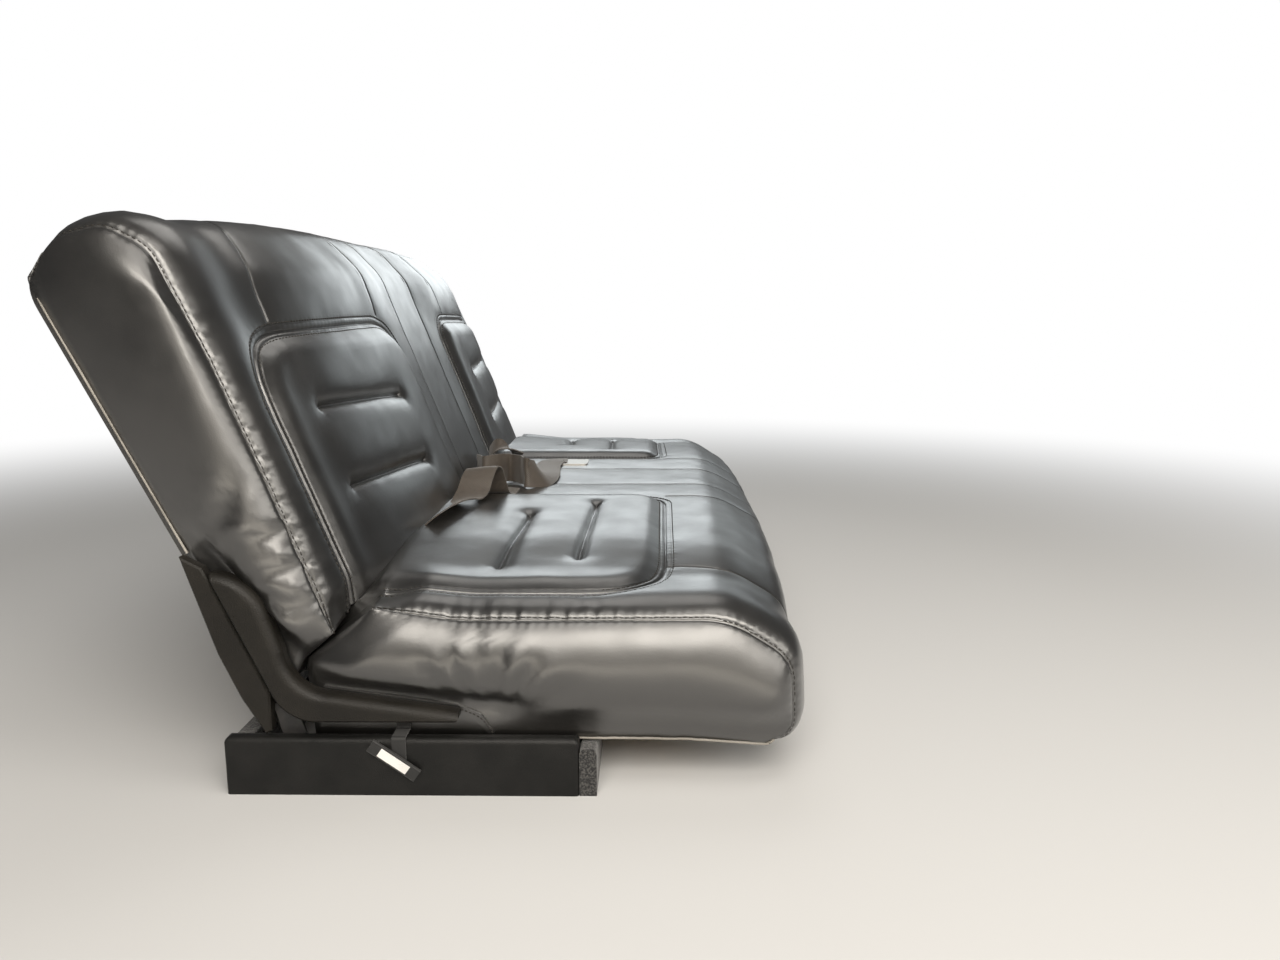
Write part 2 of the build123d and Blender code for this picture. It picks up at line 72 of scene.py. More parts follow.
class NodeSheet:
    """Adds nodes and links to a material or geometry tree."""

    def __init__(self, tree: bpy.types.NodeTree) -> None:
        """Keeps the tree that the calls add to.

        Args:
            tree: A material's or a modifier's node tree.
        """
        self.tree = tree

    def add(self, kind: str, options: dict | None = None, **inputs: object) -> bpy.types.Node:
        """Adds a node.

        Args:
            kind: The node's type name.
            options: Values for the node's own properties.
            **inputs: Values or output sockets, by input name with underscores for spaces.

        Returns:
            The new node.
        """
        node = self.tree.nodes.new(kind)
        for name, value in (options or {}).items():
            setattr(node, name, value)
        for name, value in inputs.items():
            self.feed(node, name.replace("_", " "), value)
        return node

    def feed(self, node: bpy.types.Node, name: str | int, value: object) -> None:
        """Sets or links one input.

        Args:
            node: The node that owns the input.
            name: The input's name or number.
            value: A plain value, or an output socket to link from.
        """
        socket = node.inputs[name]
        if isinstance(value, Socket):
            self.tree.links.new(value, socket)
        else:
            socket.default_value = value

    def math(self, operation: str, first: object, second: object = 0.0) -> Socket:
        """Adds a Math node.

        Args:
            operation: Its operation, such as MULTIPLY.
            first: Number or socket for the first input.
            second: Number or socket for the second input.

        Returns:
            The node's output.
        """
        node = self.add("ShaderNodeMath", {"operation": operation})
        self.feed(node, 0, first)
        self.feed(node, 1, second)
        return node.outputs[0]

    def mix(self, factor: object, low: object, high: object) -> Socket:
        """Mixes two colours.

        Args:
            factor: Share of the second colour, a number or a socket.
            low: First colour or socket.
            high: Second colour or socket.

        Returns:
            The mixed colour's socket.
        """
        node = self.add("ShaderNodeMix", {"data_type": "RGBA"})
        self.feed(node, 0, factor)
        self.feed(node, 6, low)
        self.feed(node, 7, high)
        return node.outputs[2]

    def ramp(self, value: object, low: float, high: float,
             out_low: float = 0.0, out_high: float = 1.0) -> Socket:
        """Maps a range of a value to another range, smoothly and within its ends.

        Args:
            value: Socket to map.
            low: Value that gives out_low.
            high: Value that gives out_high.
            out_low: Lower result.
            out_high: Upper result.

        Returns:
            The mapped value's socket.
        """
        node = self.add("ShaderNodeMapRange", {"interpolation_type": "SMOOTHSTEP"})
        for number, part in enumerate((value, low, high, out_low, out_high)):
            self.feed(node, number, part)
        return node.outputs[0]

    def bump(self, height: object, distance: float, strength: float = 1.0,
             **under: object) -> Socket:
        """Adds a Bump node.

        Args:
            height: Socket with the pattern of the height.
            distance: The pattern's height in metres.
            strength: How much of it shows.
            **under: Normal, the socket of the normal below it.

        Returns:
            The raised normal's socket.
        """
        node = self.add("ShaderNodeBump", Height=height, Strength=strength,
                        Distance=distance, **under)
        return node.outputs[0]


def rgba(colour: Colour) -> tuple[float, float, float, float]:
    """Gives a colour its alpha of 1."""
    return (*colour, 1.0)


# Finishes

class Paint(NodeSheet):
    """A new material's nodes, with its Principled shader and its object coordinates."""

    def __init__(self, material: bpy.types.Material) -> None:
        """Finds the shader and adds the coordinates.

        Args:
            material: The material, with its nodes on.
        """
        super().__init__(material.node_tree)
        self.shader = self.tree.nodes["Principled BSDF"]
        self.place = self.add("ShaderNodeTexCoord").outputs["Object"]

    def set(self, **inputs: object) -> None:
        """Sets or links inputs of the shader.

        Args:
            **inputs: Values or sockets, by input name with underscores for spaces.
        """
        for name, value in inputs.items():
            self.feed(self.shader, name.replace("_", " "), value)

    def spots(self, size: float, detail: float, place: Socket | None = None) -> Socket:
        """Adds noise whose spots are about one size.

        Args:
            size: Size of a spot, in metres.
            detail: Number of finer layers.
            place: Coordinates, where they aren't the object's own.

        Returns:
            The noise value, around 0.5.
        """
        node = self.add("ShaderNodeTexNoise", Vector=self.place if place is None else place,
                        Scale=1.0 / size, Detail=detail)
        return node.outputs["Fac"]


@dataclass(frozen=True)
class Finish:
    """Base of each finish: a procedural material with a name."""

    name: str

    def build(self) -> bpy.types.Material:
        """Makes the material, or gives the one made before.

        Returns:
            The material.
        """
        made = bpy.data.materials.get(self.name)
        if made is not None:
            return made
        material = bpy.data.materials.new(self.name)
        material.use_nodes = True
        self.dress(Paint(material))
        return material

    def dress(self, paint: Paint) -> None:
        """Adds the finish's own nodes.

        Args:
            paint: The material's nodes.
        """
        raise NotImplementedError


@dataclass(frozen=True)
class TwoTone(Finish):
    """Base of the finishes that vary between a dark tone and a light one."""

    dark: Colour
    light: Colour
    noise_range: ClassVar[tuple[float, float]] = (0.3, 0.7)

    def tint(self, paint: Paint, pattern: Socket, low: float, high: float) -> None:
        """Colours the shader between the two tones.

        Args:
            paint: The material's nodes.
            pattern: Socket with the pattern.
            low: The pattern's value for the dark tone.
            high: Its value for the light tone.
        """
        share = paint.ramp(pattern, low, high)
        paint.set(Base_Color=paint.mix(share, rgba(self.dark), rgba(self.light)))

    def rub(self, paint: Paint, pattern: Socket, roughness: float,
            less: float, more: float) -> None:
        """Varies the shader's roughness.

        Args:
            paint: The material's nodes.
            pattern: Socket with a noise.
            roughness: The finish's own roughness.
            less: How much smoother it is where the noise is low.
            more: How much rougher it is where the noise is high.
        """
        low, high = self.noise_range
        paint.set(Roughness=paint.ramp(pattern, low, high, roughness - less, roughness + more))


@dataclass(frozen=True)
class Leather(TwoTone):
    """Semi-gloss pigmented leather with a fine pebbled grain."""

    roughness: float = 0.35
    specular: float = 1.0
    coat: float = 0.85
    coat_roughness: float = 0.30
    coat_ior: float = 1.7
    patch_size: float = 0.16
    smudge_size: float = 0.045
    grain_size: float = 0.0013
    grain_height: float = 0.00008
    crease_size: float = 0.012
    crease_height: float = 0.00016

    def dress(self, paint: Paint) -> None:
        """Adds grain, fine creases, rubbed patches and a thin top coat.

        Args:
            paint: The material's nodes.
        """
        self.tint(paint, paint.spots(self.patch_size, detail=4.0), low=0.35, high=0.68)
        smudges = paint.spots(self.smudge_size, detail=5.0)
        self.rub(paint, smudges, self.roughness, less=0.05, more=0.07)
        paint.set(Specular_IOR_Level=self.specular, Coat_Weight=self.coat,
                  Coat_Roughness=self.coat_roughness, Coat_IOR=self.coat_ior)
        cells = paint.add("ShaderNodeTexVoronoi", {"feature": "SMOOTH_F1"},
                          Vector=paint.place, Scale=1.0 / self.grain_size)
        grain = paint.bump(cells.outputs["Distance"], self.grain_height)
        creases = paint.spots(self.crease_size, detail=6.0)
        paint.set(Normal=paint.bump(creases, self.crease_height, Normal=grain))


@dataclass(frozen=True)
class Moulding(TwoTone):
    """Satin moulded plastic, vinyl or thread, with a fine grain."""

    roughness: float = 0.5
    specular: float = 0.24
    patch_size: float = 0.05
    grain_size: float = 0.0016
    grain_height: float = 0.00042

    def dress(self, paint: Paint) -> None:
        """Adds a pebbled grain and faint scuffs.

        Args:
            paint: The material's nodes.
        """
        patches = paint.spots(self.patch_size, detail=5.0)
        self.tint(paint, patches, low=0.35, high=0.7)
        self.rub(paint, patches, self.roughness, less=0.06, more=0.06)
        pebble = paint.bump(paint.spots(self.grain_size, detail=2.0), self.grain_height)
        paint.set(Specular_IOR_Level=self.specular, Normal=pebble)


@dataclass(frozen=True)
class Carpet(TwoTone):
    """Short cut pile with lighter specks."""

    roughness: float = 0.95
    sheen: float = 0.3
    speck_size: float = 0.0022
    pile_height: float = 0.0016

    def dress(self, paint: Paint) -> None:
        """Adds specks and a rough pile.

        Args:
            paint: The material's nodes.
        """
        specks = paint.spots(self.speck_size, detail=4.0)
        self.tint(paint, specks, low=0.42, high=0.66)
        paint.set(Roughness=self.roughness, Sheen_Weight=self.sheen,
                  Normal=paint.bump(specks, self.pile_height))


@dataclass(frozen=True)
class Plywood(TwoTone):
    """Plain plywood with a long grain."""

    roughness: float = 0.75
    streak_width: float = 0.006
    streak_squeeze: float = 0.06      # scale of the pattern along X
    grain_height: float = 0.0008

    def dress(self, paint: Paint) -> None:
        """Adds streaks along X.

        Args:
            paint: The material's nodes.
        """
        stretch = paint.add("ShaderNodeMapping", Vector=paint.place,
                            Scale=(self.streak_squeeze, 1.0, 1.0))
        streaks = paint.spots(self.streak_width, detail=5.0, place=stretch.outputs[0])
        self.tint(paint, streaks, low=0.3, high=0.7)
        paint.set(Roughness=self.roughness, Normal=paint.bump(streaks, self.grain_height, 0.6))


@dataclass(frozen=True)
class Steel(TwoTone):
    """Painted or plated steel."""

    metallic: float
    roughness: float
    stain_size: float = 0.02
    peel_size: float = 0.002
    peel_height: float = 0.0001

    def dress(self, paint: Paint) -> None:
        """Adds faint stains and an orange-peel skin.

        Args:
            paint: The material's nodes.
        """
        stains = paint.spots(self.stain_size, detail=6.0)
        self.tint(paint, stains, low=0.4, high=0.7)
        self.rub(paint, stains, self.roughness, less=0.08, more=0.08)
        peel = paint.bump(paint.spots(self.peel_size, detail=2.0), self.peel_height, 0.5)
        paint.set(Metallic=self.metallic, Normal=peel)


@dataclass(frozen=True)
class Webbing(TwoTone):
    """Woven belt webbing, with a fine twill."""

    roughness: float = 0.55
    sheen: float = 0.25
    rib_pitch: float = 0.0016
    rib_height: float = 0.0003
    fuzz_size: float = 0.004
    band_pitch: ClassVar[float] = 0.31      # a Wave node's pitch at a scale of 1

    def dress(self, paint: Paint) -> None:
        """Adds a fine twill from the strap's own coordinates, in metres.

        Args:
            paint: The material's nodes.
        """
        own = paint.add("ShaderNodeUVMap").outputs[0]
        twill = paint.add("ShaderNodeTexWave", {"bands_direction": "DIAGONAL"}, Vector=own,
                          Scale=self.band_pitch / self.rib_pitch, Distortion=0.6)
        strands = twill.outputs["Fac"]
        fuzz = paint.spots(self.fuzz_size, detail=3.0)
        self.tint(paint, paint.math("MULTIPLY", strands, fuzz), low=0.05, high=0.6)
        paint.set(Roughness=self.roughness, Sheen_Weight=self.sheen,
                  Normal=paint.bump(strands, self.rib_height, 0.7))


LEATHER = Leather("black_leather", (0.0068, 0.0065, 0.0061), (0.0125, 0.0117, 0.0107))
LEATHER_BACKING = Leather("backing_vinyl", (0.016, 0.0155, 0.015), (0.026, 0.025, 0.024),
                          roughness=0.5, coat=0.0)
THREAD = Moulding("black_thread", (0.030, 0.028, 0.025), (0.050, 0.047, 0.042),
                  roughness=0.5, grain_size=0.0006)
BASE_VINYL = Moulding("base_vinyl", (0.0080, 0.0080, 0.0077), (0.0125, 0.0122, 0.0116),
                      roughness=0.36, grain_size=0.0012, grain_height=0.00036)
SHIELD_PLASTIC = Moulding("shield_moulding", (0.0105, 0.0094, 0.0078),
                          (0.0160, 0.0141, 0.0115), roughness=0.42)
BLACK_CARPET = Carpet("black_carpet", (0.010, 0.010, 0.011), (0.075, 0.072, 0.068))
BOARD = Plywood("plywood", (0.36, 0.23, 0.12), (0.56, 0.40, 0.24))
BLACK_STEEL = Steel("black_steel", (0.020, 0.020, 0.021), (0.040, 0.038, 0.036), 0.0, 0.45)
TONGUE_STEEL = Steel("tongue_steel", (0.12, 0.12, 0.115), (0.19, 0.19, 0.18), 1.0, 0.45)
BELT = Webbing("belt_webbing", (0.036, 0.028, 0.021), (0.090, 0.072, 0.056))
STRAP = Webbing("strap_webbing", (0.010, 0.010, 0.010), (0.028, 0.028, 0.028))
# Pale bead colour: on the cushion's lower edge it is a painted highlight of the lit edge, and the
# rear panel's piping shares it.
PALE_PIPING_AND_PAINTED_HIGHLIGHT = Moulding("pale_piping_and_painted_highlight", (0.24, 0.225, 0.20), (0.34, 0.32, 0.29), roughness=0.45)
TAG = Moulding("white_tag", (0.72, 0.71, 0.69), (0.80, 0.79, 0.77), roughness=0.6)


# Shape helpers

def chain(rows: Rows, per_corner: int = 24) -> np.ndarray:
    """Draws an open line through corners and rounds each inner one.

    Args:
        rows: (y, z, radius) of each corner; the ends have no radius.
        per_corner: Points on each rounded corner.

    Returns:
        Points (n, 2) along the line.
    """
    points = [np.array(row[:2], float) for row in rows]
    line = [points[0]]
    for before, corner, after, row in zip(points, points[1:], points[2:], rows[1:]):
        radius = row[2] if len(row) > 2 else 0.0
        to_before, to_after = before - corner, after - corner
        reach_before, reach_after = np.linalg.norm(to_before), np.linalg.norm(to_after)
        to_before, to_after = to_before / reach_before, to_after / reach_after
        half = math.acos(float(np.clip(to_before @ to_after, -1, 1))) / 2
        reach = min(radius / math.tan(half), 0.5 * reach_before, 0.5 * reach_after)
        if reach < TINY:
            line.append(corner)
            continue
        start, end = corner + to_before * reach, corner + to_after * reach
        for t in np.linspace(0, 1, per_corner):
            line.append((1 - t) ** 2 * start + 2 * t * (1 - t) * corner + t * t * end)
    line.append(points[-1])
    return np.array(line)


def distances(points: np.ndarray) -> np.ndarray:
    """Gives how far along its line each point lies."""
    steps = np.linalg.norm(np.diff(points, axis=0), axis=1)
    return np.concatenate([[0.0], np.cumsum(steps)])


def evenly(points: np.ndarray, count: int) -> np.ndarray:
    """Spaces points evenly along a line.

    Args:
        points: Points (n, d) along the line.
        count: Number of points wanted.

    Returns:
        Points (count, d).
    """
    along = distances(points)
    wanted = np.linspace(0, along[-1], count)
    return np.stack([np.interp(wanted, along, points[:, i]) for i in range(points.shape[1])], 1)


def length_of(points: np.ndarray) -> float:
    """Gives the length of a line of points."""
    return float(np.linalg.norm(np.diff(points, axis=0), axis=1).sum())


def smoothstep(value: np.ndarray) -> np.ndarray:
    """Rises smoothly from 0 to 1 as the value does."""
    t = np.clip(value, 0, 1)
    return t * t * (3 - 2 * t)


@dataclass(frozen=True)
class Fade:
    """Smooth rise from 0 at a start to 1 a width further on; a negative width falls."""

    start: float
    width: float

    def at(self, value: np.ndarray) -> np.ndarray:
        """Reads the fade."""
        return smoothstep((value - self.start) / self.width)


@dataclass(frozen=True)
class Curve:
    """Smooth function of one distance, from a short table."""

    rows: Rows      # distance, value

    def at(self, distance: np.ndarray) -> np.ndarray:
        """Reads the curve.

        Args:
            distance: Where to read it.

        Returns:
            The values, with cubic pieces between the rows.
        """
        x = np.array([row[0] for row in self.rows])
        y = np.array([row[1] for row in self.rows])
        slope = np.gradient(y, x)
        d = np.clip(distance, x[0], x[-1])
        i = np.clip(np.searchsorted(x, d) - 1, 0, len(x) - 2)
        span = x[i + 1] - x[i]
        t = (d - x[i]) / span
        return ((2 * t**3 - 3 * t**2 + 1) * y[i] + (t**3 - 2 * t**2 + t) * span * slope[i]
                + (3 * t**2 - 2 * t**3) * y[i + 1] + (t**3 - t**2) * span * slope[i + 1])


def line_through(rows: Rows, spacing: float = 0.006) -> np.ndarray:
    """Rounds a line of corners and spaces points evenly along it.

    Args:
        rows: (a, b, radius) of each corner.
        spacing: Distance between the points.

    Returns:
        Points (n, 2).
    """
    line = chain(rows)
    return evenly(line, max(4, int(length_of(line) / spacing)))


def inside(points: np.ndarray, ring: np.ndarray) -> np.ndarray:
    """Tells which points lie inside a closed ring.

    Args:
        points: Points (n, 2).
        ring: The ring's corners (m, 2).

    Returns:
        True where a point is inside.
    """
    hit = np.zeros(len(points), bool)
    for (x0, y0), (x1, y1) in zip(ring, np.roll(ring, -1, axis=0)):
        if y0 == y1:
            continue
        crosses = (y0 > points[:, 1]) != (y1 > points[:, 1])
        reach = x0 + (points[:, 1] - y0) * (x1 - x0) / (y1 - y0)
        hit ^= crosses & (points[:, 0] < reach)
    return hit


def offset_line(line: np.ndarray, distance: float) -> np.ndarray:
    """Shifts a flat line sideways.

    Args:
        line: Points (n, 2).
        distance: How far to its left; to its right where negative.

    Returns:
        Points (n, 2).
    """
    along = np.gradient(line, axis=0)
    along /= np.linalg.norm(along, axis=1)[:, None]
    return line + np.stack([-along[:, 1], along[:, 0]], 1) * distance


def lumps(points: np.ndarray, size: float, seed: int) -> np.ndarray:
    """Gives soft noise over points in space.

    Args:
        points: Points (n, 3).
        size: Size of one lump, in metres.
        seed: Moves the pattern.

    Returns:
        Values from about -1 to 1.
    """
    shift = Vector([step * seed for step in SEED_STEP])
    scale = 1.0 / size
    return np.array([noise.noise(Vector(p) * scale + shift) for p in points.tolist()])


def mesh_object(name: str, points: Iterable, faces: Iterable, finish: Finish,
                smooth: bool = True) -> bpy.types.Object:
    """Makes an object at the origin from points and faces.

    Args:
        name: The piece's name.
        points: Points in metres.
        faces: Corner numbers of each face.
        finish: Its finish.
        smooth: Whether its faces shade smoothly.

    Returns:
        The object.
    """
    mesh = bpy.data.meshes.new(name)
    mesh.from_pydata([tuple(p) for p in points], [], [tuple(f) for f in faces])
    return finish_mesh(name, mesh, finish, smooth)


def finish_mesh(name: str, mesh: bpy.types.Mesh, finish: Finish,
                smooth: bool = True) -> bpy.types.Object:
    """Links a mesh as an object with one material.

    Args:
        name: The piece's name.
        mesh: Its mesh, in metres.
        finish: Its finish.
        smooth: Whether its faces shade smoothly.

    Returns:
        The object.
    """
    piece = bpy.data.objects.new(name, mesh)
    bpy.context.scene.collection.objects.link(piece)
    mesh.materials.clear()
    mesh.materials.append(finish.build())
    mesh.polygons.foreach_set("use_smooth", [smooth] * len(mesh.polygons))
    mesh.update()
    return piece


def report(piece: bpy.types.Object) -> None:
    """Logs a finished piece."""
    log.info("%s: %d faces", piece.name, len(piece.data.polygons))


# Padded bodies

class SeamKind(Enum):
    """Ways in which two panels meet or a panel is sewn down."""

    SIDE = "side"
    PLAIN = "plain"
    WELT = "welt"
    ROW = "row"
    CHANNEL = "channel"


@dataclass(frozen=True)
class SeamCut:
    """How a kind of seam pulls the leather in and puckers it."""

    dip: float
    dip_reach: float
    groove: float
    groove_width: float
    pucker: float = 0.0
    pucker_reach: float = 0.010
    pucker_start: float = 0.002
    pucker_waves: Rows = ((1.0, 0.0104, 0.0), (0.7, 0.0237, 1.0))      # share, length, phase

    def depth(self, gap: np.ndarray) -> np.ndarray:
        """Gives the depth at some distances from the seam."""
        dip = self.dip * np.exp(-gap / self.dip_reach)
        return dip + self.groove * np.exp(-(gap / self.groove_width) ** 2)

    def puckers(self, gap: np.ndarray, run: np.ndarray) -> np.ndarray:
        """Works out the small waves beside the seam.

        Args:
            gap: Distances from the seam.
            run: Places along it.

        Returns:
            Distances outwards.
        """
        wave = sum(share * np.sin(run * 2 * math.pi / length + phase)
                   for share, length, phase in self.pucker_waves)
        reach = np.exp(-gap / self.pucker_reach) * (1 - np.exp(-gap / self.pucker_start))
        return self.pucker * wave * reach


SEAM_CUTS = {
    # dip and its reach, groove and its width, pucker and its reach
    SeamKind.SIDE: SeamCut(0.0004, 0.008, 0.0014, 0.0012, 0.00032, 0.008),
    SeamKind.PLAIN: SeamCut(0.0013, 0.012, 0.0014, 0.0012),
    SeamKind.WELT: SeamCut(0.0046, 0.020, 0.0028, 0.0013),
    SeamKind.ROW: SeamCut(0.0002, 0.004, 0.0009, 0.0010, 0.00016, 0.005),
    SeamKind.CHANNEL: SeamCut(0.0115, 0.0105, 0.0010, 0.0018),
}


@dataclass(frozen=True)
class Gathers:
    """Uneven gathers of the leather beside the side seams."""

    height: float = 0.0006
    lengths: tuple[float, ...] = (0.031, 0.0173)
    distance: float = 0.016
    patch_size: float = 0.12
    patch_contrast: float = 1.6
    seed: int = 3

    def relief(self, points: np.ndarray, gap: np.ndarray, run: np.ndarray) -> np.ndarray:
        """Works out the gathers.

        Args:
            points: Points on the plain surface.
            gap: Their distance from the nearest side seam.
            run: Their place along it.

        Returns:
            Distances outwards.
        """
        wave = sum(np.sin(run * 2 * math.pi / length) for length in self.lengths)
        patches = lumps(points, self.patch_size, self.seed)
        patchy = smoothstep(0.5 + self.patch_contrast * patches)
        reach = np.exp(-((gap - self.distance) / self.distance) ** 2)
        return self.height * wave * patchy * reach


@dataclass(frozen=True)
class Section:
    """Closed Y-Z outline in four sides, each a chain of (y, z, radius) rows."""

    top: Rows
    front: Rows
    bottom: Rows
    rear: Rows

    samples: int = 240

    def table(self) -> np.ndarray:
        """Samples the outline.

        Returns:
            Points (4 * samples + 1, 2), evenly spaced within each side.
        """
        parts = [evenly(chain(rows), self.samples + 1)
                 for rows in (self.top, self.front, self.bottom, self.rear)]
        return np.concatenate([part[:-1] for part in parts] + [parts[-1][-1:]])

    def side(self, number: int) -> np.ndarray:
        """Gives one side's points."""
        first = number * self.samples
        return self.table()[first:first + self.samples + 1]


@dataclass(frozen=True)
class Seam:
    """A seam on the wrap, as points (x, v), where v runs once round the section."""

    kind: SeamKind
    points: np.ndarray


@dataclass(frozen=True)
class Insert:
    """Raised sewn panel of one seat, open at the crease. Insets are from the side seam."""

    sign: int
    outer: float
    inner: float
    reach: float
    outer_radius: float
    inner_radius: float
    channels: Rows      # distance from the crease and inset of one end, then of the other

    def outline(self, half_width: float) -> np.ndarray:
        """Draws the border, from the crease at its outer side round to its inner side.

        Args:
            half_width: Half the seat's width.

        Returns:
            Points (x, distance from the crease) for the left seat.
        """
        outer, inner = self.outer - half_width, self.inner - half_width
        return line_through(((outer, 0.0), (outer, self.reach, self.outer_radius),
                             (inner, self.reach, self.inner_radius), (inner, 0.0)))


@dataclass(frozen=True)
class FoldFan:
    """Creases that run out from one point of a side panel."""

    hub: tuple[float, float]      # y, z
    tips: Rows                    # y, z, depth, width
    hub_width: float = 0.55       # share of the width at the hub
    widening: float = 0.75        # what the tip adds to it
    start: Fade = Fade(-0.05, 0.3)
    end: Fade = Fade(1.12, -0.5)
    ridges: float = 0.85          # how far the edges of a crease stand up
    spread: float = 1.7

    def relief(self, points: np.ndarray) -> np.ndarray:
        """Works out the creases' depth.

        Args:
            points: Points (n, 3) on a side panel.

        Returns:
            Distances outwards, negative in a crease.
        """
        height = np.zeros(len(points))
        start = np.array(self.hub)
        for y, z, depth, width in self.tips:
            along = np.array([y, z]) - start
            size = np.linalg.norm(along)
            offset = points[:, 1:] - start
            share = offset @ along / size**2
            gap = np.abs(offset[:, 0] * along[1] - offset[:, 1] * along[0]) / size
            reach = width * (self.hub_width + self.widening * np.clip(share, 0, 1))
            fade = self.start.at(share) * self.end.at(share)
            wave = (gap / reach) ** 2
            height -= depth * fade * (1 - self.ridges * wave) * np.exp(-wave / self.spread)
        return height


class SeamField:
    """Distances from points of the surface to the seams of one kind."""

    run_step = 3.7      # metres between the starts of two seams' runs, so no waves match

    def __init__(self, lines: Sequence[np.ndarray], spacing: float = 0.002) -> None:
        """Samples the seam lines.

        Args:
            lines: Each seam's points in space.
            spacing: Distance between samples.
        """
        parts = [evenly(line, max(3, int(length_of(line) / spacing))) for line in lines]
        self.samples = np.concatenate(parts)
        self.owner = np.repeat(np.arange(len(parts)), [len(part) for part in parts])
        self.run = np.concatenate([distances(part) + self.run_step * i
                                   for i, part in enumerate(parts)])
        self.tree = KDTree(len(self.samples))
        for i, sample in enumerate(self.samples.tolist()):
            self.tree.insert(sample, i)
        self.tree.balance()

    def nearest(self, points: np.ndarray) -> tuple[np.ndarray, np.ndarray]:
        """Measures to the nearest seam.

        Args:
            points: Points (n, 3).

        Returns:
            Distances, and how far along its seam each nearest point lies.
        """
        find = self.tree.find
        index = np.array([find(p)[1] for p in points.tolist()])
        best = np.linalg.norm(points - self.samples[index], axis=1)
        run = self.run[index].copy()
        last = len(self.samples) - 1
        for step in (-1, 1):
            other = np.clip(index + step, 0, last)
            usable = (self.owner[other] == self.owner[index]) & (other != index)
            start, end = self.samples[index], self.samples[other]
            along = end - start
            size = np.maximum((along**2).sum(1), TINY**2)
            t = np.clip(((points - start) * along).sum(1) / size, 0, 1)
            gap = np.linalg.norm(points - start - along * t[:, None], axis=1)
            closer = usable & (gap < best)
            run[closer] = (self.run[index] + (self.run[other] - self.run[index]) * t)[closer]
            best[closer] = gap[closer]
        return best, run


class Island(Enum):
    """Patches of a padded body: the wrap round the section and the two side panels."""

    WRAP = 0
    LEFT = -1
    RIGHT = 1


PAST_CREASE = -1.0      # where an insert's outline closes, out of the wrap's reach
MERGE_DISTANCE = 0.00002
SEAM_SPACING = 0.004
SIDE_SAMPLES = 260
PLACE_LAYERS = ("a", "b", "island")


